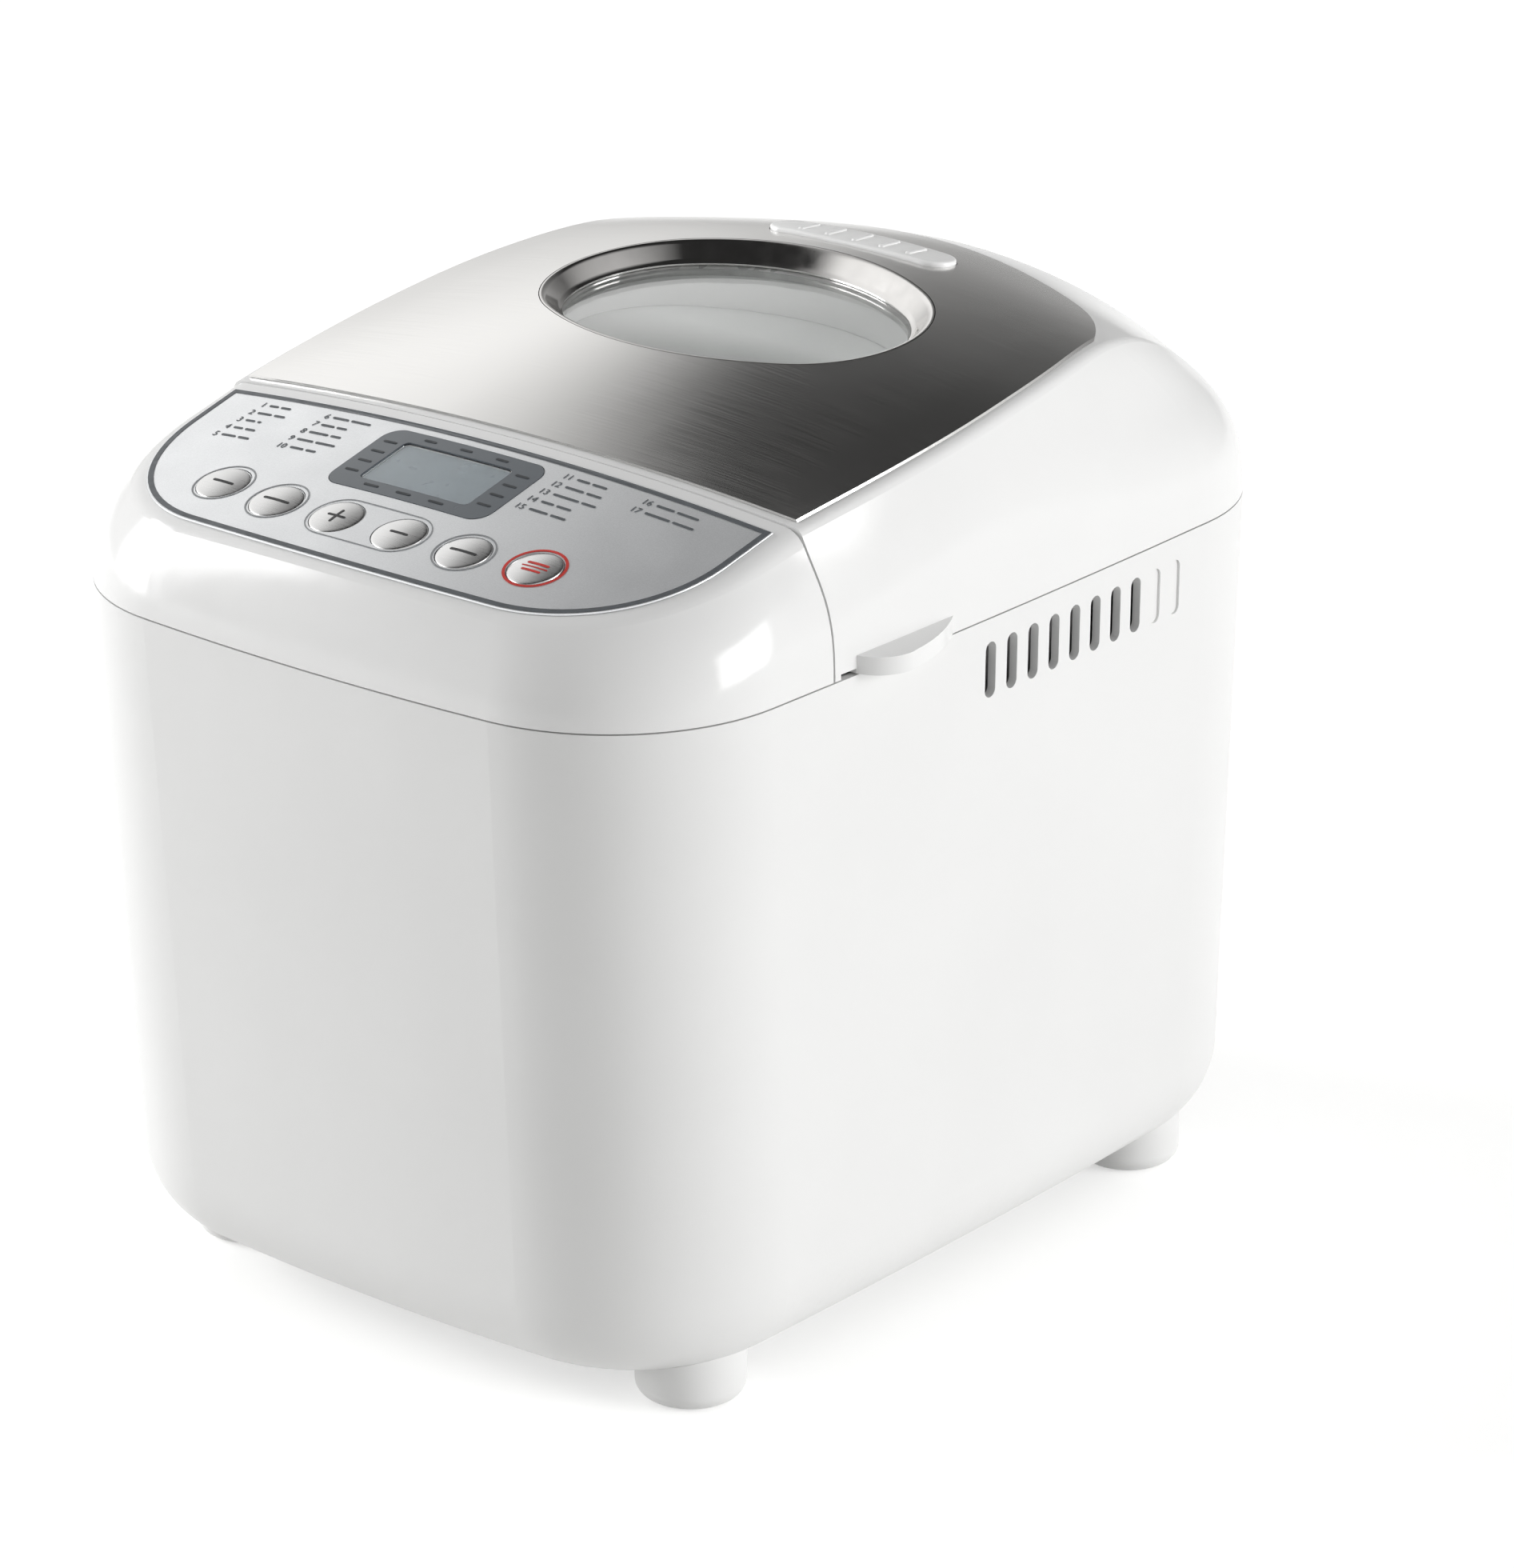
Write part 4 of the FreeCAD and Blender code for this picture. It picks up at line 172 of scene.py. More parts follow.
def crown_z(x, y):
    """Height of the lid's plastic crown at a place."""
    arch = CROWN_ARCH
    if y < 0:
        arch += CROWN_FRONT_ARCH * (y / CROWN_FRONT_Y) ** 2
    if y > CROWN_TOP_Y:
        arch += CROWN_REAR_ARCH * ((y - CROWN_TOP_Y) / CROWN_TOP_Y) ** 2
    z = CROWN_TOP - (y - CROWN_TOP_Y) ** 2 / (2 * CROWN_RADIUS) - arch * x * x
    if y > CROWN_REAR_Y:
        z -= (y - CROWN_REAR_Y) ** 2 / (2 * CROWN_REAR_RADIUS)
    return z


# Materials


def fill(tree, node, inputs):
    """Puts a value or a link on each named or numbered input of a node."""
    for key, value in inputs.items():
        if isinstance(value, bpy.types.NodeSocket):
            tree.links.new(value, node.inputs[key])
        else:
            node.inputs[key].default_value = value


def add_node(tree, kind, inputs, operation=""):
    """Makes a node, fills its inputs and gives its outputs."""
    node = tree.nodes.new("ShaderNode" + kind)
    if operation:
        node.operation = operation
    fill(tree, node, inputs)
    return node.outputs


def fade(tree, source, start, end, first, last):
    """A value from first to last, while a source runs from start to end."""
    return add_node(tree, "MapRange", {"Value": source, "From Min": start, "From Max": end,
                                       "To Min": first, "To Max": last})["Result"]


class Finish:
    """A material that is built node by node on Object coordinates."""

    def __init__(self, name):
        self.material = bpy.data.materials.new(name)
        self.material.use_nodes = True
        self.tree = self.material.node_tree
        self.shader = self.tree.nodes["Principled BSDF"]
        self.place = add_node(self.tree, "TexCoord", {})["Object"]

    def set(self, **values):
        """Values or links on the shader's own sockets, by name with spaces as underscores."""
        fill(self.tree, self.shader, {key.replace("_", " "): value for key, value in values.items()})
        return self

    def noise(self, scale, detail=3.0, stretch=(1, 1, 1)):
        """A noise over the piece, stretched along its axes."""
        mapped = add_node(self.tree, "Mapping", {"Vector": self.place, "Scale": stretch})["Vector"]
        return add_node(self.tree, "TexNoise", {"Vector": mapped, "Scale": scale, "Detail": detail})["Fac"]

    def tint(self, source, first, second):
        """Base colour between two colours, by a noise or another source."""
        ramp = self.tree.nodes.new("ShaderNodeValToRGB")
        for element, place, value in zip(ramp.color_ramp.elements, (NOISE_LOW, NOISE_HIGH), (first, second)):
            element.position = place
            element.color = (*value, 1)
        fill(self.tree, ramp, {"Fac": source})
        self.set(Base_Color=ramp.outputs["Color"])

    def rough(self, source, low, high):
        """Roughness between two values, by a noise."""
        self.set(Roughness=fade(self.tree, source, NOISE_LOW, NOISE_HIGH, low, high))

    def bump(self, source, depth, strength):
        """Relief by a noise, as deep as depth."""
        inputs = {"Height": source, "Distance": depth, "Strength": strength}
        self.set(Normal=add_node(self.tree, "Bump", inputs)["Normal"])


def shade(value, factor):
    """A colour made lighter or darker."""
    return tuple(min(1.0, channel * factor) for channel in value)


def moulded(name, value, low, high, grain=0.00002, scale=900.0):
    """Moulded plastic: a fine skin, slightly uneven gloss and barely uneven colour."""
    finish = Finish(name)
    finish.tint(finish.noise(14.0), shade(value, 0.985), shade(value, 1.01))
    finish.rough(finish.noise(40.0, 4.0), low, high)
    finish.bump(finish.noise(scale, 2.0), grain, 0.5)
    return finish.set(IOR=1.48).material


def sheet_metal(name, value, low, high, stretch, depth):
    """Metal with a drawn grain: fine streaks along one axis in its colour, gloss and relief."""
    finish = Finish(name)
    streaks = finish.noise(30.0, 2.0, stretch)
    finish.tint(streaks, shade(value, 0.97), shade(value, 1.03))
    finish.rough(streaks, low, high)
    finish.bump(streaks, depth, 0.6)
    return finish.set(Metallic=1.0).material


def cast_metal(name, value, low, high):
    """Cast or plated metal: a fine pebbled skin."""
    finish = Finish(name)
    finish.tint(finish.noise(60.0, 5.0), shade(value, 0.88), shade(value, 1.08))
    finish.rough(finish.noise(180.0, 4.0), low, high)
    finish.bump(finish.noise(700.0), 0.00004, 0.6)
    return finish.set(Metallic=1.0).material


def clear_glass(name, value, roughness):
    """Clear pane with faint unevenness."""
    finish = Finish(name)
    finish.tint(finish.noise(20.0), shade(value, 0.985), value)
    finish.bump(finish.noise(35.0, 2.0), 0.00001, 0.3)
    return finish.set(Roughness=roughness, IOR=1.47, Transmission_Weight=1.0).material


def soft_rubber(name, value):
    """Matt rubber with a dusty skin."""
    finish = Finish(name)
    finish.tint(finish.noise(80.0, 5.0), shade(value, 0.8), shade(value, 1.25))
    finish.rough(finish.noise(120.0), 0.6, 0.85)
    finish.bump(finish.noise(900.0), 0.00005, 0.5)
    return finish.material


def printed(name, value):
    """Printing ink with a little unevenness."""
    finish = Finish(name)
    finish.tint(finish.noise(300.0, 4.0), shade(value, 0.9), shade(value, 1.12))
    finish.rough(finish.noise(400.0), 0.37, 0.53)
    return finish.material


def silver_sheet(name, value):
    """Silver printed film: faint metallic flakes under a satin skin."""
    finish = Finish(name)
    finish.tint(finish.noise(2500.0, 2.0), shade(value, 0.95), shade(value, 1.05))
    finish.rough(finish.noise(60.0, 4.0), 0.3, 0.36)
    finish.bump(finish.noise(1800.0, 2.0), 0.000004, 0.4)
    return finish.set(Metallic=0.65, Coat_Weight=0.1, Coat_Roughness=0.3).material


def circuit(name):
    """Green board with fine copper tracks."""
    finish = Finish(name)
    tracks = finish.noise(500.0, 0.0, (1, 0.12, 1))
    finish.tint(tracks, (0.01, 0.09, 0.04), (0.05, 0.2, 0.08))
    finish.rough(finish.noise(200.0), 0.3, 0.5)
    finish.bump(tracks, 0.00003, 0.4)
    return finish.material


def paint(names, material):
    """Gives CAD nodes a finish."""
    for name in names:
        for slot in NODES[name].material_slots:
            slot.material = material


# Modelling


def start_piece():
    """Nothing selected, in object mode."""
    if bpy.context.object and bpy.context.object.mode != "OBJECT":
        bpy.ops.object.mode_set(mode="OBJECT")
    bpy.ops.object.select_all(action="DESELECT")


def pick(piece):
    """Selects a piece alone."""
    start_piece()
    piece.select_set(True)
    bpy.context.view_layer.objects.active = piece


def edit(piece):
    """Selects a piece alone and all of its mesh, in edit mode."""
    pick(piece)
    bpy.ops.object.mode_set(mode="EDIT")
    bpy.ops.mesh.select_all(action="SELECT")


def bake(piece):
    """Puts a piece's place in its mesh."""
    piece.data.transform(piece.matrix_world)
    piece.matrix_world = Matrix.Identity(4)


def settle(piece, name, material, body):
    """Names and finishes a piece, and lets it ride on a body."""
    piece.name = name
    piece.data.name = name
    bake(piece)
    piece.data.materials.clear()
    piece.data.materials.append(material)
    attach(piece, body)


def apply_all(piece):
    """Applies the modifiers of the active piece in order."""
    for modifier in list(piece.modifiers):
        bpy.ops.object.modifier_apply(modifier=modifier.name)


def smooth(piece, degrees):
    """Smooth shading, with edges sharper than an angle kept."""
    pick(piece)
    bpy.ops.object.shade_smooth_by_angle(angle=math.radians(degrees))


def join(pieces):
    """Several meshes as one."""
    start_piece()
    for piece in pieces:
        piece.select_set(True)
    bpy.context.view_layer.objects.active = pieces[0]
    if len(pieces) > 1:
        bpy.ops.object.join()
    return pieces[0]


def tidy_mesh(piece, distance=MERGE):
    """Merges doubles and turns every face outwards."""
    edit(piece)
    bpy.ops.mesh.remove_doubles(threshold=distance)
    bpy.ops.mesh.normals_make_consistent(inside=False)
    bpy.ops.object.mode_set(mode="OBJECT")
    return piece


def wrapped_grid(around, across, place):
    """A grid wrapped into a closed ring: place gives a point for each share round and across."""
    start_piece()
    bpy.ops.mesh.primitive_grid_add(x_subdivisions=around, y_subdivisions=across, size=1.0)
    piece = bpy.context.object
    for vertex in piece.data.vertices:
        vertex.co = place(vertex.co.x + 0.5, vertex.co.y + 0.5)
    return tidy_mesh(piece)


def turned(profile):
    """A round piece: a disc drawn out through pairs of radius and height, closed at both ends."""
    start_piece()
    radius, height = profile[0]
    bpy.ops.mesh.primitive_circle_add(vertices=CIRCLE_STEPS, radius=radius, fill_type="NGON",
                                      location=(0, 0, height))
    piece = bpy.context.object
    edit(piece)
    for next_radius, next_height in profile[1:]:
        step = Vector((0, 0, next_height - height))
        bpy.ops.mesh.extrude_region_move(TRANSFORM_OT_translate={"value": step})
        share = next_radius / radius
        bpy.ops.transform.resize(value=(share, share, 1), center_override=(0, 0, next_height))
        radius, height = next_radius, next_height
    bpy.ops.object.mode_set(mode="OBJECT")
    bake(piece)
    return tidy_mesh(piece)


def rounded_block(size, corner, edge, segments):
    """A plate with round corners and a soft upper edge, standing on the origin."""
    start_piece()
    bpy.ops.mesh.primitive_plane_add(size=1.0)
    piece = bpy.context.object
    edit(piece)
    bpy.ops.transform.resize(value=(size[0], size[1], 1), center_override=(0, 0, 0))
    bpy.ops.mesh.bevel(offset=corner, offset_type="OFFSET", segments=segments * 2, affect="VERTICES")
    bpy.ops.mesh.select_all(action="SELECT")
    bpy.ops.mesh.extrude_region_move(TRANSFORM_OT_translate={"value": (0, 0, size[2])})
    bpy.ops.mesh.region_to_loop()
    bpy.ops.mesh.bevel(offset=edge, segments=4, affect="EDGES")
    bpy.ops.object.mode_set(mode="OBJECT")
    return tidy_mesh(piece)


def flat_shape(loops):
    """A flat filled shape from closed loops of points: the first is its outside, the others are holes."""
    curve = bpy.data.curves.new("outline", "CURVE")
    curve.dimensions = "2D"
    curve.fill_mode = "BOTH"
    for loop in loops:
        spline = curve.splines.new("POLY")
        spline.points.add(len(loop) - 1)
        for point, (x, y) in zip(spline.points, loop):
            point.co = (x, y, 0, 1)
        spline.use_cyclic_u = True
    piece = bpy.data.objects.new("outline", curve)
    bpy.context.scene.collection.objects.link(piece)
    pick(piece)
    bpy.ops.object.convert(target="MESH")
    return bpy.context.object


def figure(text, size, x, y):
    """A plain number or sign as a flat mesh."""
    start_piece()
    bpy.ops.object.text_add(location=(x, y, 0))
    piece = bpy.context.object
    piece.data.body = text
    piece.data.size = size
    piece.data.resolution_u = 3
    bpy.ops.object.convert(target="MESH")
    piece = bpy.context.object
    bake(piece)
    return piece


def arc(x, y, radius, start, end, steps):
    """Points on an arc, by degrees."""
    points = []
    for index in range(steps + 1):
        angle = math.radians(start + (end - start) * index / steps)
        points.append((x + radius * math.cos(angle), y + radius * math.sin(angle)))
    return points


def circle(x, y, radius):
    """Points on a circle."""
    return arc(x, y, radius, 0, 360, CIRCLE_STEPS)[:-1]


def slot_loop(x, y, half_length, radius):
    """Points on a slot with half-round ends, long along X."""
    return (arc(x + half_length, y, radius, -90, 90, END_STEPS)
            + arc(x - half_length, y, radius, 90, 270, END_STEPS))


def rounded_loop(x, y, width, depth, radius, steps=8):
    """Points on a rectangle with round corners."""
    points = []
    for side, front, start in ((1, -1, -90), (1, 1, 0), (-1, 1, 90), (-1, -1, 180)):
        points += arc(x + side * (width / 2 - radius), y + front * (depth / 2 - radius), radius,
                      start, start + 90, steps)
    return points


def word_bar(x, y, width):
    """A flat bar that stands for a word."""
    return flat_shape([rounded_loop(x, y, width, BAR_DEPTH, BAR_CORNER, 3)])


def divide(piece, cuts):
    """Cuts every edge of a piece, so that it can bend."""
    edit(piece)
    bpy.ops.mesh.subdivide(number_cuts=cuts)
    bpy.ops.object.mode_set(mode="OBJECT")


def thicken(piece, thickness):
    """Gives a thin sheet its thickness, half to either side."""
    modifier = piece.modifiers.new("thickness", "SOLIDIFY")
    modifier.thickness = thickness
    modifier.offset = 0.0
    bpy.context.view_layer.objects.active = piece
    apply_all(piece)
    return tidy_mesh(piece, PRINT_MERGE)


def laid_on_panel(piece, lift, thickness, cuts=1):
    """Lays a flat shape on the printed sheet and gives it thickness upwards."""
    tidy_mesh(piece, FLAT_MERGE)
    divide(piece, cuts)
    for vertex in piece.data.vertices:
        vertex.co.z = panel_z(vertex.co.x, vertex.co.y) + lift + thickness / 2
    return thicken(piece, thickness)


def key_place(name):
    """Where a key stands on the panel."""
    s = sizes()
    half_row = (len(KEYS) - 1) / 2
    steps = KEYS.index(name) - half_row
    return s.key_row_x + s.key_pitch * steps, s.key_row_y + s.key_row_bow * (steps / half_row) ** 4


def key_turn(name):
    """Turns and moves a flat drawing to a key's place."""
    s = sizes()
    x, y = key_place(name)
    base = panel_z(x, y) - s.sheet_rise
    return Matrix.Translation((x, y, base)) @ Matrix.Rotation(math.atan(s.panel_slope), 4, "X")


# Operators


class MACHINE_OT_shells(bpy.types.Operator):
    """Finishes the tub, the control housing, the lid and the hinges"""

    bl_idname = "machine.shells"
    bl_label = "Shells"

    def execute(self, context):
        c = colours()
        gloss = moulded("gloss_white", c.white, 0.1, 0.17)
        satin = moulded("satin_white", c.tub_white, 0.28, 0.36, 0.00003, 1200.0)
        paint(("front_cover", "lid_shell", "lid_hinge_arms", "hinge_base"), gloss)
        paint(("body_housing", "foot_front_left", "foot_front_right", "foot_rear_left", "foot_rear_right"),
              satin)
        paint(("steel_cover",), sheet_metal("brushed_steel", c.steel, 0.16, 0.21, (1, 70, 0), 0.0000006))
        paint(("chamber_deck",), moulded("deck_white", c.tub_white, 0.35, 0.45, 0.00003, 1200.0))
        paint(("base_plate",), cast_metal("grey_plate", (0.45, 0.45, 0.45), 0.4, 0.55))
        paint(("cord_gland",), soft_rubber("black_rubber", (0.02, 0.02, 0.02)))
        return {"FINISHED"}


class MACHINE_OT_inside(bpy.types.Operator):
    """Finishes the oven, the pan, the drive and the boards"""

    bl_idname = "machine.inside"
    bl_label = "Inside"

    # Kind of finish, nodes, and the finish's own values
    FINISHES = (
        (sheet_metal, ("oven_chamber", "pan_seat"), "oven_sheet", (0.5, 0.5, 0.5), 0.3, 0.45, (50, 50, 1),
         0.00002),
        (sheet_metal, ("hinge_pins", "drive_shaft", "pan_shaft", "motor_rotor", "case_screws", "board_screws",
                       "lid_screws"), "ground_steel", (0.6, 0.6, 0.61), 0.2, 0.32, (1, 1, 80), 0.000008),
        (sheet_metal, ("pan_handle",), "bright_wire", (0.66, 0.66, 0.66), 0.12, 0.2, (1, 40, 40), 0.000005),
        (sheet_metal, ("lid_liner",), "liner_sheet", (0.62, 0.62, 0.62), 0.3, 0.42, (1, 50, 50), 0.00001),
        (cast_metal, ("chassis_plate", "motor_bracket", "temperature_sensor"), "zinc_plate",
         (0.5, 0.51, 0.53), 0.3, 0.5),
        (cast_metal, ("drive_coupling", "pan_base", "handle_pivots"), "cast_alloy", (0.55, 0.55, 0.55), 0.3,
         0.45),
        (cast_metal, ("heating_element",), "heater_tube", (0.13, 0.12, 0.115), 0.45, 0.65),
        (cast_metal, ("motor_case",), "motor_paint", (0.2, 0.21, 0.23), 0.4, 0.55),
        (cast_metal, ("drive_bearing",), "sintered_bronze", (0.5, 0.36, 0.18), 0.35, 0.5),
        (cast_metal, ("power_transformer",), "transformer_iron", (0.1, 0.1, 0.105), 0.45, 0.6),
        (soft_rubber, ("drive_belt",), "belt_rubber", (0.025, 0.025, 0.027)),
        (soft_rubber, ("glass_gasket",), "pale_silicone", (0.6, 0.6, 0.59)),
        (soft_rubber, ("lid_seal",), "grey_silicone", (0.35, 0.35, 0.35)),
        (soft_rubber, ("ribbon_cable",), "ribbon_grey", (0.4, 0.4, 0.4)),
        (moulded, ("heater_bushings",), "ceramic", (0.72, 0.68, 0.6), 0.5, 0.65, 0.00005, 500.0),
        (moulded, ("motor_pulley", "driven_pulley", "key_switches"), "black_plastic", (0.03, 0.03, 0.032),
         0.4, 0.55),
        (circuit, ("control_board", "power_board"), "circuit_board"),
        (clear_glass, ("outer_glass",), "window_glass", (0.97, 0.98, 0.975), 0.02),
    )

    def execute(self, context):
        for kind, names, *values in self.FINISHES:
            paint(names, kind(*values))
        coated = Finish("coated_pan")
        coating = colours().coating
        coated.tint(coated.noise(700.0), shade(coating, 0.7), shade(coating, 1.6))
        coated.rough(coated.noise(300.0), 0.3, 0.45)
        coated.bump(coated.noise(900.0, 2.0), 0.00004, 0.5)
        paint(("bread_pan",), coated.set(Metallic=0.3).material)
        fogged = Finish("fogged_glass")
        along = add_node(fogged.tree, "SeparateXYZ", {"Vector": fogged.place})["Y"]
        # The pane's colour runs along Y: dark grey at 2 mm and in front of it, fading to pale grey at 30 mm
        # and behind it.
        dark_front_ramp = fade(fogged.tree, along, 2.0 * MM, 30.0 * MM, NOISE_LOW, NOISE_HIGH)
        fogged.tint(dark_front_ramp, (0.4, 0.41, 0.4), (0.93, 0.94, 0.93))
        fogged.rough(fogged.noise(60.0), 0.1, 0.25)
        paint(("inner_glass",), fogged.set(IOR=1.47, Transmission_Weight=0.2).material)
        return {"FINISHED"}


class MACHINE_OT_window(bpy.types.Operator):
    """Makes the rolled and polished rim round the lid's window"""

    bl_idname = "machine.window"
    bl_label = "Window rim"

    # The rim's section, in millimetres: how far in from the window's edge, and how high over the lid's crown
    SECTION = ((0.0, 0.86), (0.35, 0.88), (0.9, 0.78), (1.5, 0.45), (2.1, -0.1), (5.3, -4.1), (5.9, -4.7),
               (6.5, -5.0), (6.9, -5.3), (6.9, -5.85), (5.5, -5.95), (2.0, -5.95), (0.0, -5.9), (0.0, -2.0))
    # The sleeve: its two walls, in from the window's edge, and its gaps to the crown and to the inner pane
    SLEEVE = (7.2, 8.0)
    SLEEVE_DROP = 11.05
    SLEEVE_GAP = 0.1
    STEPS_AROUND = 192

    def edge(self, share, inset):
        """A point on the window's four-arc oval, drawn in by millimetres."""
        s = sizes()
        end_x = s.window_half_length - s.window_end_radius
        step = s.window_half_width - s.window_end_radius
        drop = (end_x ** 2 - step ** 2) / (2 * step)
        side = s.window_half_width + drop - inset * MM
        end = s.window_end_radius - inset * MM
        lean = math.degrees(math.atan2(end_x, drop))
        quarter, along = divmod(share % 1.0 * 4, 1)
        centre, radius, middle, spread = (
            ((end_x, 0), end, 0, 90 - lean),
            ((0, -drop), side, 90, lean),
            ((-end_x, 0), end, 180, 90 - lean),
            ((0, drop), side, 270, lean),
        )[int(quarter) % 4]
        angle = math.radians(middle + spread * (2 * along - 1))
        return centre[0] + radius * math.cos(angle), s.window_y + centre[1] + radius * math.sin(angle)

    def place(self, around, across):
        """A point of the rim, by its share round the window and round its section."""
        inset, rise = self.SECTION[round(across * len(self.SECTION)) % len(self.SECTION)]
        x, y = self.edge(around, inset)
        return Vector((x, y, crown_z(x, y) + rise * MM))

    def sleeve_place(self, around, across):
        """A point of the sleeve, by its share round the window and round its section."""
        index = round(across * 4) % 4
        x, y = self.edge(around, self.SLEEVE[0 if index in (0, 3) else 1])
        high = crown_z(x, y) - self.SLEEVE_DROP * MM
        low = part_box("inner_glass")[1].z + self.SLEEVE_GAP * MM
        return Vector((x, y, high if index < 2 else low))

    def sleeve(self):
        """The white sleeve between the two panes."""
        piece = wrapped_grid(self.STEPS_AROUND, 4, self.sleeve_place)
        smooth(piece, 40)
        white = moulded("sleeve_white", colours().white, 0.3, 0.4)
        settle(piece, "window_sleeve", white, "lid")

    def execute(self, context):
        self.sleeve()
        rim = wrapped_grid(self.STEPS_AROUND, len(self.SECTION), self.place)
        smooth(rim, 50)
        polished = sheet_metal("polished_steel", colours().polished, 0.1, 0.16, (6, 6, 6), 0.000003)
        settle(rim, "window_rim", polished, "lid")
        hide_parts("window_bezel")
        return {"FINISHED"}


class MACHINE_OT_vent(bpy.types.Operator):
    """Makes the ribbed cover of the steam vent"""

    bl_idname = "machine.vent"
    bl_label = "Steam vent"

    # The cover, in millimetres: start over the cap's underside, edge radius, and straight bit of its ends
    COVER_START = 1.5
    COVER_EDGE = 0.8
    END_FLAT = 0.01
    SLICES = 28
    # The ribs, in millimetres: height over the cover, depth in it, width, margin at their ends, and radii
    RIBS = 5
    RIB_RISE = 0.5
    RIB_ROOT = 1.0
    RIB_WIDTH = 2.2
    RIB_MARGIN = 2.2
    RIB_CORNER = 0.9
    RIB_EDGE = 0.7
    # Room at both ends of the row of ribs together, in pitches
    END_PITCHES = 2.6

    def slice(self, piece):
        """Cuts a piece across at even steps, so that it can bend."""
        s = sizes()
        edit(piece)
        for index in range(1, self.SLICES):
            x = s.vent_length * (index / self.SLICES - 0.5)
            bpy.ops.mesh.select_all(action="SELECT")
            bpy.ops.mesh.bisect(plane_co=(x, 0, 0), plane_no=(1, 0, 0))
        bpy.ops.object.mode_set(mode="OBJECT")

    def execute(self, context):
        s = sizes()
        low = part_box("vent_cap")[0].z + self.COVER_START * MM
        top = s.vent_top - self.RIB_RISE * MM
        cover = rounded_block((s.vent_length, s.vent_width, top - low),
                              s.vent_width / 2 - self.END_FLAT * MM, self.COVER_EDGE * MM, 8)
        self.slice(cover)
        cover.data.transform(Matrix.Translation((0, s.vent_y, low)))
        parts = [cover]
        pitch = s.vent_length / (self.RIBS - 1 + self.END_PITCHES)
        rib_size = (self.RIB_WIDTH * MM, s.vent_width - 2 * self.RIB_MARGIN * MM,
                    (self.RIB_RISE + self.RIB_ROOT) * MM)
        for index in range(self.RIBS):
            rib = rounded_block(rib_size, self.RIB_CORNER * MM, self.RIB_EDGE * MM, 3)
            x = pitch * (index - (self.RIBS - 1) / 2)
            rib.data.transform(Matrix.Translation((x, s.vent_y, top - self.RIB_ROOT * MM)))
            parts.append(rib)
        cover = join(parts)
        crest = crown_z(0, s.vent_y)
        for vertex in cover.data.vertices:
            vertex.co.z += min(0.0, crown_z(vertex.co.x, vertex.co.y) - crest)
        smooth(cover, 40)
        # The vent is the lid's white plastic painted a tenth lighter: painted light on a top that gets little
        # light from the lamps.
        white = moulded("vent_white", shade(colours().white, 1.1), 0.16, 0.24)
        settle(cover, "vent_cover", white, "lid")
        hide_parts("vent_cap")
        return {"FINISHED"}


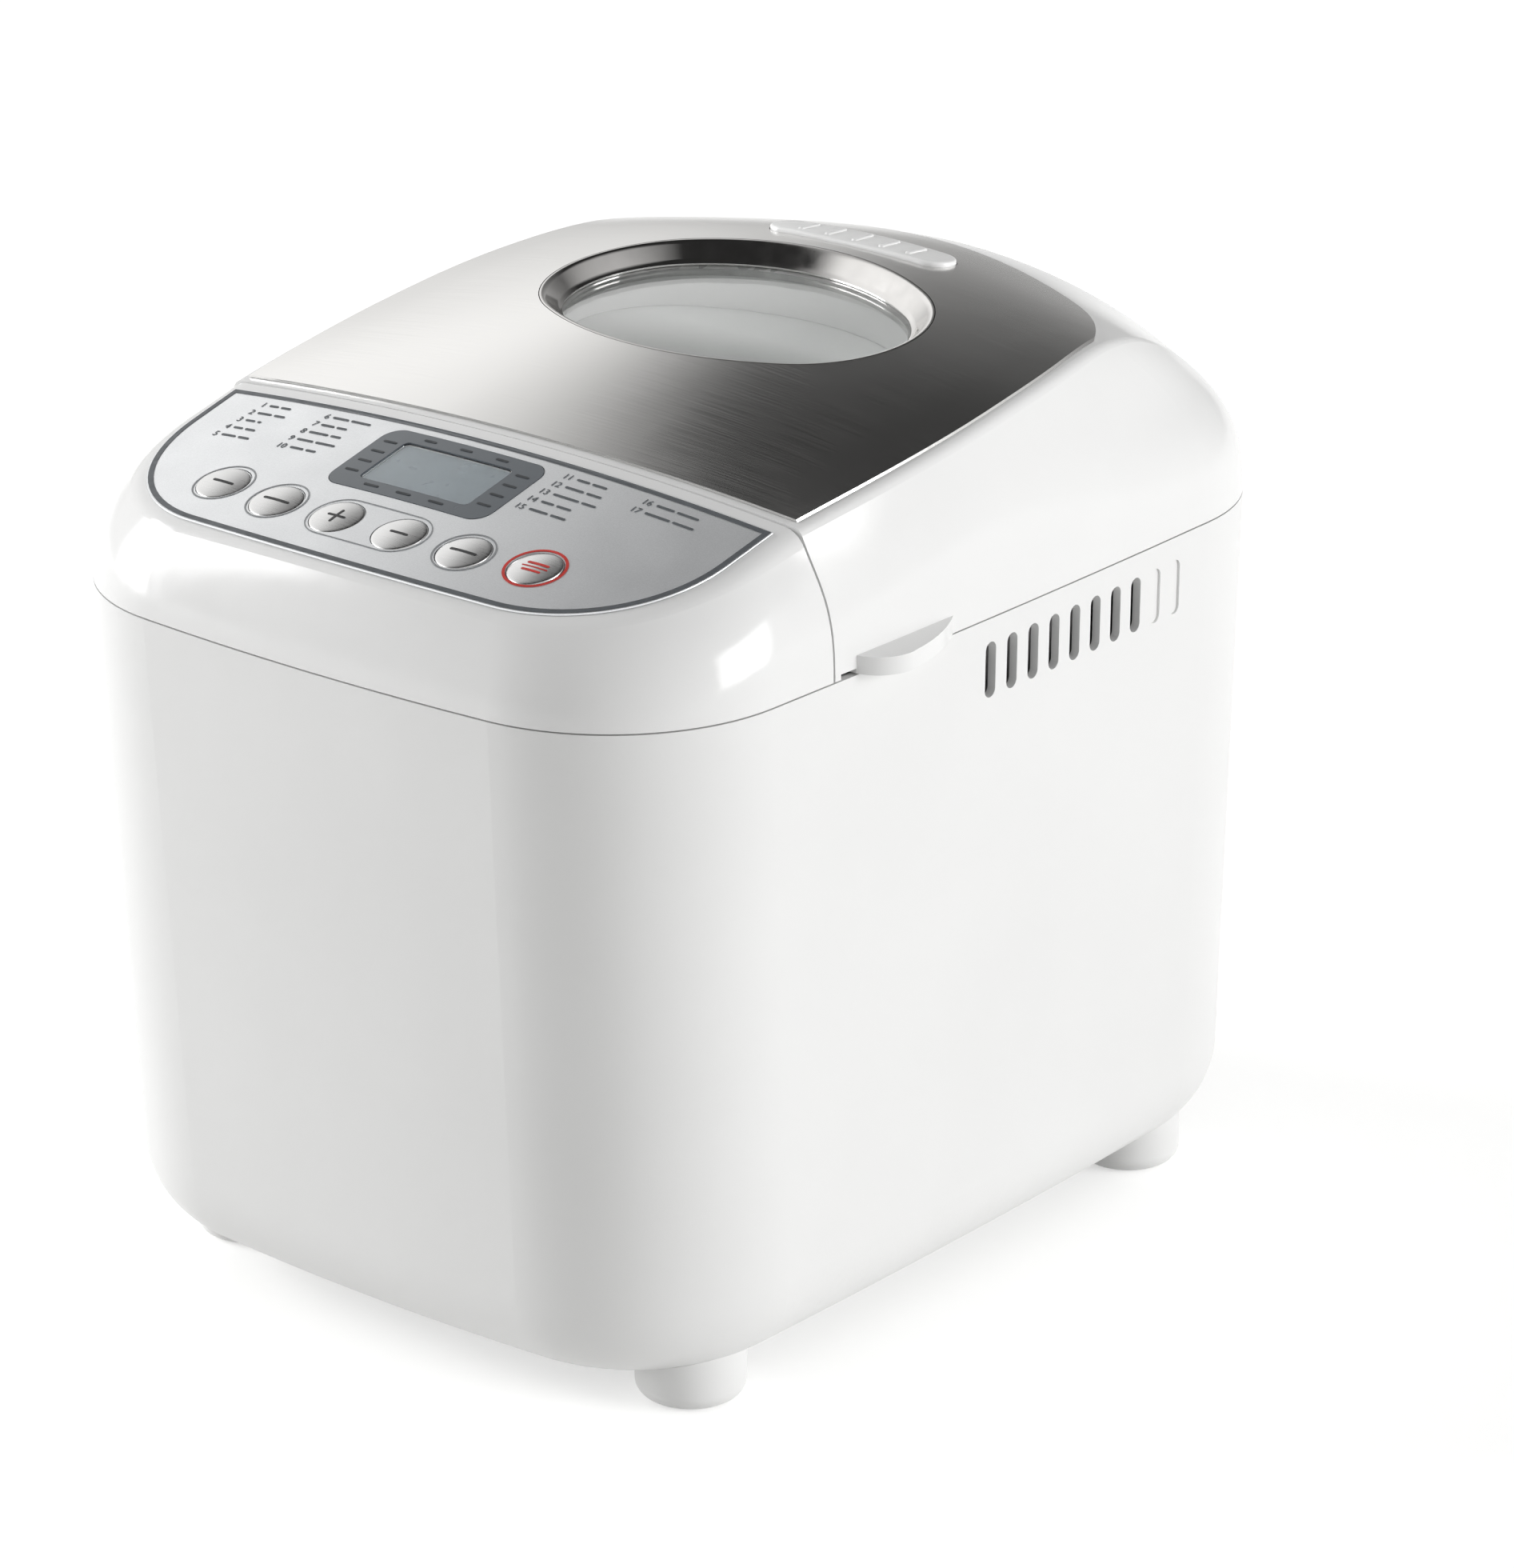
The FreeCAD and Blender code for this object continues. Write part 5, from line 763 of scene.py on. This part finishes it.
class MACHINE_OT_panel(bpy.types.Operator):
    """Prints the panel: its border line, programme numbers and lines round the keys"""

    bl_idname = "machine.panel"
    bl_label = "Printed panel"

    # The outline, in millimetres: bow of its front and of its sides, and half the length of a side's bow
    FRONT_BOW = 2.4
    SIDE_BOW = 1.4
    SIDE_HALF = 108.0
    REAR_STEPS = 24
    # Columns of the programme list: left end, first number, rows, and the longest bar
    COLUMNS = ((-88, 1, 5, 11), (-62, 6, 5, 15), (32, 11, 5, 16), (62, 16, 2, 18))
    # Its first row, the distance between rows and their shift to the left, and the figures' size
    ROW_Y = -104.6
    ROW_PITCH = 4.6
    ROW_SHIFT = 0.6
    FIGURE_SIZE = 3.6
    # Its bars: start behind one figure or two, height, step in length, and the first word's share and gap
    BAR_START = (3.2, 5.2)
    BAR_LIFT = 1.2
    BAR_STEP = 2.4
    FIRST_WORD = (0.42, 0.51, 0.6)
    WORD_GAP = 1.1
    # Gap and width of the line round plus and minus, and of the line round start
    PAIR_LINE = (0.9, 0.35)
    START_LINE = (0.25, 0.9)

    def outline(self, inset):
        """The sheet's outline, drawn in by inset."""
        s = sizes()
        radius = s.panel_corner - inset
        x = s.panel_half_width - s.panel_corner
        y = s.panel_front + s.panel_corner
        rear = s.panel_rear - inset
        side_half = self.SIDE_HALF * MM
        lean = 2 * math.atan(self.FRONT_BOW * MM / x)
        front_y = y + x / math.tan(lean)
        front_reach = x / math.sin(lean) + radius
        side_lean = 2 * math.atan(self.SIDE_BOW / self.SIDE_HALF)
        side_x = x - side_half / math.tan(side_lean)
        side_reach = side_half / math.sin(side_lean) + radius
        stop = math.degrees(math.asin((rear - y - side_half) / side_reach))
        lean, side_lean = math.degrees(lean), math.degrees(side_lean)
        right = arc(side_x, y + side_half, side_reach, -side_lean, stop, 8)
        half = arc(x, y, radius, -90 + lean, -side_lean, 20)[:-1] + right
        front = arc(0, front_y, front_reach, -90 - lean, -90 + lean, 16)
        left = [(-px, py) for px, py in reversed(half)]
        width = half[-1][0]
        back = [(width * (1 - 2 * index / self.REAR_STEPS), rear) for index in range(1, self.REAR_STEPS)]
        return left[:-1] + front + half[1:] + back

    def stamp(self, piece, name, ink, cuts):
        """Prints a flat shape on the sheet."""
        s = sizes()
        laid_on_panel(piece, s.print_lift, s.print_thickness, cuts)
        settle(piece, name, ink, "housing")

    def border(self, ink):
        """The border line."""
        s = sizes()
        piece = flat_shape([self.outline(s.border_inset), self.outline(s.border_inset + s.border_width)])
        self.stamp(piece, "panel_border", ink, 6)

    def programme_list(self, ink):
        """Programme numbers, each with two plain bars for its name."""
        shapes = []
        for left, first, count, longest in self.COLUMNS:
            for row in range(count):
                number = str(first + row)
                x = (left - self.ROW_SHIFT * row) * MM
                y = (self.ROW_Y - self.ROW_PITCH * row) * MM
                shapes.append(figure(number, self.FIGURE_SIZE * MM, x, y))
                start = x + self.BAR_START[len(number) - 1] * MM
                reach = (longest - self.BAR_STEP * ((row * 2 + first) % 3)) * MM
                stop = reach * self.FIRST_WORD[row % 3]
                for left_end, right_end in ((0, stop), (stop + self.WORD_GAP * MM, reach)):
                    shapes.append(word_bar(start + (left_end + right_end) / 2, y + self.BAR_LIFT * MM,
                                           right_end - left_end))
        self.stamp(join(shapes), "programme_numbers", ink, 1)

    def key_lines(self, ink, red):
        """Lines round the keys: one round plus and minus together, a red one round start."""
        s = sizes()
        edge = s.key_diameter / 2
        inner = edge + s.outline_gap
        rings = []
        for name in ("menu", "weight", "colour"):
            x, y = key_place(name)
            rings.append(flat_shape([circle(x, y, inner + s.outline_width), circle(x, y, inner)]))
        x, y = key_place("plus")
        around = s.key_pitch / 2
        gap, width = (value * MM for value in self.PAIR_LINE)
        rings.append(flat_shape([slot_loop(x + around, y, around, edge + gap + width),
                                 slot_loop(x + around, y, around, edge + gap)]))
        self.stamp(join(rings), "key_lines", ink, 4)
        x, y = key_place("start")
        gap, width = (value * MM for value in self.START_LINE)
        ring = flat_shape([circle(x, y, edge + gap + width), circle(x, y, edge + gap)])
        self.stamp(ring, "start_line", red, 1)

    def execute(self, context):
        c = colours()
        ink = printed("slate_ink", c.slate)
        paint(("control_overlay",), silver_sheet("silver_sheet", c.silver))
        self.border(ink)
        self.programme_list(ink)
        self.key_lines(printed("grey_ink", (0.28, 0.29, 0.3)), printed("red_ink", c.red))
        return {"FINISHED"}


class MACHINE_OT_keys(bpy.types.Operator):
    """Makes the six domed keys with their signs"""

    bl_idname = "machine.keys"
    bl_label = "Keys"

    # A key under its dome, in millimetres: its stem, and the flange that holds it
    STEM_RADIUS = 3.0
    STEM_END = -7.5
    FLANGE_WIDTH = 1.8
    FLANGE = (-5.2, -3.6)
    # The rolled edge: how far in from the key's side and under the dome's edge
    ROLL = ((0.0, 0.3), (0.08, 0.12), (0.25, 0.0))
    # The dome's rings, as shares of the key's radius
    DOME = (0.92, 0.84, 0.72, 0.56, 0.38, 0.18, 0.02)
    # The signs' bars, in millimetres: width, depth, place, and whether it stands upright
    SIGNS = (
        ("plus", ((6.8, 0.9), (6.8, 0.9, 0.0, True))),
        ("minus", ((6.8, 0.9),)),
        ("menu", ((8.0, 1.0),)), ("weight", ((10.0, 1.0),)), ("colour", ((10.0, 1.0),)),
        ("start", ((8.0, 1.0, 1.8), (9.5, 0.5), (7.0, 0.9, -1.8))),
    )
    # Radius of a bar's corners, as a share of its smaller side
    BAR_ROUNDING = 0.45

    def cap(self, name, metal):
        """One domed key with a rolled edge, a holding flange and a stem."""
        s = sizes()
        radius = s.key_diameter / 2 / MM
        rise = s.key_rise / MM
        edge = s.key_edge / MM
        low, high = self.FLANGE
        wide = radius + self.FLANGE_WIDTH
        profile = [(self.STEM_RADIUS, self.STEM_END), (self.STEM_RADIUS, low), (wide, low), (wide, high),
                   (radius, high)]
        profile += [(radius - inset, edge - drop) for inset, drop in self.ROLL]
        profile += [(radius * share, edge + (rise - edge) * (1 - share ** 2)) for share in self.DOME]
        cap = turned([(r * MM, z * MM) for r, z in profile])
        cap.data.transform(key_turn(name))
        smooth(cap, 50)
        settle(cap, name + "_cap", metal, name + "_key")
        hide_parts(name + "_button")

    def sign(self, name, loops, ink):
        """A sign on a key's dome."""
        s = sizes()
        piece = join([flat_shape([loop]) for loop in loops])
        divide(piece, 4)
        radius = s.key_diameter / 2
        for vertex in piece.data.vertices:
            share = (vertex.co.x ** 2 + vertex.co.y ** 2) / radius ** 2
            vertex.co.z = s.key_edge + (s.key_rise - s.key_edge) * (1 - share) + s.print_thickness
        thicken(piece, s.print_thickness)
        piece.data.transform(key_turn(name))
        settle(piece, name + "_sign", ink, name + "_key")

    def bar(self, width, depth, y=0.0, upright=False):
        """A plain bar, with a point in the middle of each of its sides."""
        size = (depth, width) if upright else (width, depth)
        loop = rounded_loop(0, y * MM, size[0] * MM, size[1] * MM, min(size) * self.BAR_ROUNDING * MM, 3)
        points = []
        for first, second in zip(loop, loop[1:] + loop[:1]):
            middle = ((first[0] + second[0]) / 2, (first[1] + second[1]) / 2)
            points += [first, middle]
        return points

    def execute(self, context):
        c = colours()
        metal = sheet_metal("key_silver", c.key, 0.26, 0.32, (1, 60, 60), 0.0000005)
        ink = printed("key_ink", (0.03, 0.03, 0.032))
        red = printed("key_red", c.red)
        for name in KEYS:
            self.cap(name, metal)
        for name, bars in self.SIGNS:
            self.sign(name, [self.bar(*bar) for bar in bars], red if name == "start" else ink)
        return {"FINISHED"}


class MACHINE_OT_display(bpy.types.Operator):
    """Makes the display's frame, its marks and the screen behind the pane"""

    bl_idname = "machine.display"
    bl_label = "Display"

    # The frame, in millimetres: gap round the pane, radii of its hole and its outside, place and thickness
    PANE_GAP = 0.2
    HOLE_CORNER = 2.0
    FRAME_CORNER = 6.0
    FRAME_LIFT = -0.45
    FRAME_THICKNESS = 0.6
    # The marks: columns behind and before the pane, rows beside it, and the widths of all three
    MARKS_BEHIND = (-14.0, 0.0, 14.0)
    MARKS_BEFORE = (-13.6, -1.0, 11.6)
    MARKS_BESIDE = (8.6, 3.0, -2.6, -8.2)
    MARK_X = 25.8
    MARK_Y = 13.2
    MARK_WIDTHS = (4.6, 5.6, 5.0)
    # The screen: gap to the pane's edge, place and thickness
    SCREEN_GAP = 0.15
    SCREEN_LIFT = -1.7
    SCREEN_THICKNESS = 0.4

    def frame_piece(self, dark):
        """The softened dark frame."""
        s = sizes()
        gap = 2 * self.PANE_GAP * MM
        hole = rounded_loop(s.display_x, s.display_y, s.screen_width + gap, s.screen_depth + gap,
                            self.HOLE_CORNER * MM)
        outside = rounded_loop(s.display_x, s.display_y, s.display_width, s.display_depth,
                               self.FRAME_CORNER * MM)
        piece = flat_shape([outside, hole])
        laid_on_panel(piece, self.FRAME_LIFT * MM, self.FRAME_THICKNESS * MM, 8)
        settle(piece, "display_surround", dark, "housing")
        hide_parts("display_frame")

    def marks(self, ink):
        """Plain bars for the words on the frame."""
        s = sizes()
        behind, before, beside = self.MARK_WIDTHS
        bars = []
        for x, front_x in zip(self.MARKS_BEHIND, self.MARKS_BEFORE):
            bars += [(x, self.MARK_Y, behind), (front_x, -self.MARK_Y, before)]
        for y in self.MARKS_BESIDE:
            bars += [(-self.MARK_X, y, beside), (self.MARK_X, y, beside)]
        piece = join([word_bar(s.display_x + x * MM, s.display_y + y * MM, width * MM)
                      for x, y, width in bars])
        frame_top = (self.FRAME_LIFT + self.FRAME_THICKNESS) * MM
        laid_on_panel(piece, frame_top + s.print_lift, s.print_thickness)
        settle(piece, "display_marks", ink, "housing")

    def screen(self):
        """The grey screen just under the pane."""
        s = sizes()
        start_piece()
        bpy.ops.mesh.primitive_grid_add(x_subdivisions=16, y_subdivisions=8, size=1.0)
        piece = bpy.context.object
        gap = 2 * self.SCREEN_GAP * MM
        piece.data.transform(Matrix.Diagonal((s.screen_width - gap, s.screen_depth - gap, 1, 1)))
        piece.data.transform(Matrix.Translation((s.display_x, s.display_y, 0)))
        laid_on_panel(piece, self.SCREEN_LIFT * MM, self.SCREEN_THICKNESS * MM)
        finish = Finish("grey_screen")
        value = colours().screen
        finish.tint(finish.noise(30.0, 3.0, (0.5, 1, 1)), shade(value, 0.85), shade(value, 1.2))
        finish.rough(finish.noise(200.0), 0.25, 0.4)
        finish.bump(finish.noise(900.0), 0.00001, 0.3)
        settle(piece, "display_screen", finish.material, "housing")

    def execute(self, context):
        self.frame_piece(moulded("graphite_frame", colours().graphite, 0.2, 0.3))
        self.marks(printed("frame_ink", (0.03, 0.035, 0.04)))
        self.screen()
        paint(("display_lens",), clear_glass("display_pane", (0.9, 0.93, 0.95), 0.03))
        paint(("display_module",), moulded("module_grey", (0.25, 0.27, 0.28), 0.4, 0.5))
        return {"FINISHED"}


class MACHINE_OT_paddle(bpy.types.Operator):
    """Makes the cast and coated kneading paddle"""

    bl_idname = "machine.paddle"
    bl_label = "Paddle"

    # In millimetres: the hub's radii and heights, the blade's start, thickness, margin and tip's height
    HUB = ((8.8, 0.0), (9.0, 0.6), (8.5, 14.0), (7.8, 18.6), (6.6, 19.8), (4.6, 19.9))
    BLADE_START = 5.0
    BLADE_THICKNESS = 4.6
    BLADE_MARGIN = 1.0
    TIP_HEIGHT = 7.0

    def execute(self, context):
        low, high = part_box("kneading_paddle")
        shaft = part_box("pan_shaft")
        y = (shaft[0].y + shaft[1].y) / 2
        hub = turned([(radius * MM, height * MM) for radius, height in self.HUB])
        hub.data.transform(Matrix.Translation((0, y, low.z)))
        start_piece()
        bpy.ops.mesh.primitive_cube_add(size=1.0)
        blade = bpy.context.object
        start = self.BLADE_START * MM
        height = high.z - low.z - self.BLADE_MARGIN * MM
        middle = Vector(((start + high.x) / 2, y, (low.z + high.z) / 2))
        blade.data.transform(Matrix.Diagonal((high.x - start, self.BLADE_THICKNESS * MM, height, 1)))
        blade.data.transform(Matrix.Translation(middle))
        for vertex in blade.data.vertices:
            if vertex.co.x > middle.x and vertex.co.z > middle.z:
                vertex.co.z = low.z + self.TIP_HEIGHT * MM
        divide(blade, 3)
        soften = blade.modifiers.new("soften", "SUBSURF")
        soften.levels = soften.render_levels = 2
        apply_all(blade)
        paddle = join([hub, blade])
        smooth(paddle, 40)
        settle(paddle, "paddle_cast", NODES["bread_pan"].material_slots[0].material, "drive")
        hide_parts("kneading_paddle")
        return {"FINISHED"}


class MACHINE_OT_stage(bpy.types.Operator):
    """Sets up the white studio and the camera"""

    bl_idname = "machine.stage"
    bl_label = "Studio"

    CAMERA = (1.18673, -1.42024, 0.85514)
    TARGET = (0.01161, 0.00926, 0.13573)
    LENS = 146.64
    SENSOR_WIDTH = 36.0
    VIEW_DEPTH = 50.0
    WHITE = (1, 1, 1, 1)
    FLOOR_SIZE = 30.0
    FLOOR_GLOW = 0.5
    # The soft boxes: name, place and power of each, their size, and where they look
    LAMPS = (("left_box", (-3.9, -1.9, 1.35), 164.0), ("right_box", (4.0, 1.5, 0.75), 156.0))
    LAMP_SIZE = (2.4, 2.8)
    LAMP_TARGET = (0.0, 0.0, 0.15)
    # Light from all round, and the level and tint of what metal reflects
    AROUND_LEVEL = 0.4
    MIRROR_LEVEL = 1.25
    MIRROR_TINT = (1.0, 0.995, 0.985)
    # How that changes with the direction: axis, start, end, first and last level
    WALL_EDGE = ("X", -0.672, -0.556, 0.0, 1.0)
    WALL = ("Z", 0.0, 0.42, 0.5, 1.0)
    ROOM = ("Z", 0.15, 0.68, 0.32, 0.02)
    RIGHT_SIDE = ("X", 0.0, 0.6, 0.0, 0.66)

    def floor(self):
        """A white floor that takes the shadow."""
        start_piece()
        bpy.ops.mesh.primitive_plane_add(size=self.FLOOR_SIZE)
        plane = bpy.context.object
        plane.name = "studio_floor"
        finish = Finish("studio_floor")
        value = colours().floor
        finish.tint(finish.noise(3.0), shade(value, 0.995), value)
        path = add_node(finish.tree, "LightPath", {})
        rays = {0: path["Is Camera Ray"], 1: path["Is Glossy Ray"]}
        seen = add_node(finish.tree, "Math", rays, "MAXIMUM")["Value"]
        glow = add_node(finish.tree, "Math", {0: seen, 1: self.FLOOR_GLOW}, "MULTIPLY")["Value"]
        finish.set(Roughness=0.9, Specular_IOR_Level=0.0, Emission_Color=self.WHITE, Emission_Strength=glow)
        plane.data.materials.append(finish.material)

    def world(self):
        """White background, and for metal a white wall, a dark room beside it and a paler right side."""
        world = bpy.data.worlds.new("studio")
        bpy.context.scene.world = world
        world.use_nodes = True
        tree = world.node_tree
        tree.nodes.clear()
        direction = add_node(tree, "TexCoord", {})["Generated"]
        axes = add_node(tree, "SeparateXYZ", {"Vector": direction})
        edge, wall, room, right = (
            fade(tree, axes[axis], *levels)
            for axis, *levels in (self.WALL_EDGE, self.WALL, self.ROOM, self.RIGHT_SIDE))
        beside = add_node(tree, "Mix", {"Factor": edge, "A": wall, "B": room})["Result"]
        level = add_node(tree, "Math", {0: beside, 1: right}, "MAXIMUM")["Value"]
        warm = add_node(tree, "VectorMath", {0: self.MIRROR_TINT, "Scale": level}, "SCALE")["Vector"]
        lights = ((self.WHITE, self.AROUND_LEVEL), (warm, self.MIRROR_LEVEL), (self.WHITE, 1.0))
        around, mirrored, seen = (
            add_node(tree, "Background", {"Color": value, "Strength": strength})["Background"]
            for value, strength in lights)
        path = add_node(tree, "LightPath", {})
        rays = {0: path["Is Camera Ray"], 1: path["Is Transmission Ray"]}
        direct = add_node(tree, "Math", rays, "MAXIMUM")["Value"]
        lit = add_node(tree, "MixShader", {"Fac": path["Is Glossy Ray"], 1: around, 2: mirrored})["Shader"]
        shown = add_node(tree, "MixShader", {"Fac": direct, 1: lit, 2: seen})["Shader"]
        add_node(tree, "OutputWorld", {"Surface": shown})

    def look(self, thing, place, target):
        """Puts a lamp or camera in its place, turned to a target."""
        bpy.context.scene.collection.objects.link(thing)
        thing.location = place
        thing.rotation_euler = (Vector(target) - Vector(place)).to_track_quat("-Z", "Y").to_euler()

    def lamp(self, name, place, power):
        """A soft box that looks at the machine."""
        data = bpy.data.lights.new(name, "AREA")
        data.shape = "RECTANGLE"
        data.size, data.size_y = self.LAMP_SIZE
        data.energy = power
        self.look(bpy.data.objects.new(name, data), place, self.LAMP_TARGET)

    def camera(self):
        """The camera at the photograph's place."""
        data = bpy.data.cameras.new("camera")
        data.sensor_width = self.SENSOR_WIDTH
        data.lens = self.LENS
        data.clip_end = self.VIEW_DEPTH
        camera = bpy.data.objects.new("camera", data)
        self.look(camera, self.CAMERA, self.TARGET)
        bpy.context.scene.camera = camera

    def execute(self, context):
        self.floor()
        self.world()
        for lamp in self.LAMPS:
            self.lamp(*lamp)
        self.camera()
        context.scene.view_settings.view_transform = "Standard"
        return {"FINISHED"}


class MACHINE_PT_sidebar(bpy.types.Panel):
    """Lists the pieces of the bread machine"""

    bl_idname = "MACHINE_PT_sidebar"
    bl_label = "Bread machine"
    bl_space_type = "VIEW_3D"
    bl_region_type = "UI"
    bl_category = "Bread machine"

    def draw(self, context):
        for step in STEPS:
            self.layout.operator(step.bl_idname)
        for group in (context.scene.machine_sizes, context.scene.machine_colours):
            box = self.layout.box()
            for key in group.__annotations__:
                box.prop(group, key)


STEPS = (MACHINE_OT_shells, MACHINE_OT_inside, MACHINE_OT_window, MACHINE_OT_vent, MACHINE_OT_panel,
         MACHINE_OT_keys, MACHINE_OT_display, MACHINE_OT_paddle, MACHINE_OT_stage)
CLASSES = (MachineSizes, MachineColours) + STEPS + (MACHINE_PT_sidebar,)


def register():
    """Registers the classes and the machine's settings."""
    for item in CLASSES:
        bpy.utils.register_class(item)
    bpy.types.Scene.machine_sizes = bpy.props.PointerProperty(type=MachineSizes)
    bpy.types.Scene.machine_colours = bpy.props.PointerProperty(type=MachineColours)


def unregister():
    """Takes the settings and the classes away."""
    del bpy.types.Scene.machine_colours
    del bpy.types.Scene.machine_sizes
    for item in reversed(CLASSES):
        bpy.utils.unregister_class(item)


def main():
    """Builds everything in order."""
    register()
    for step in STEPS:
        group, name = step.bl_idname.split(".")
        getattr(getattr(bpy.ops, group), name)()


if __name__ == "__main__":
    main()
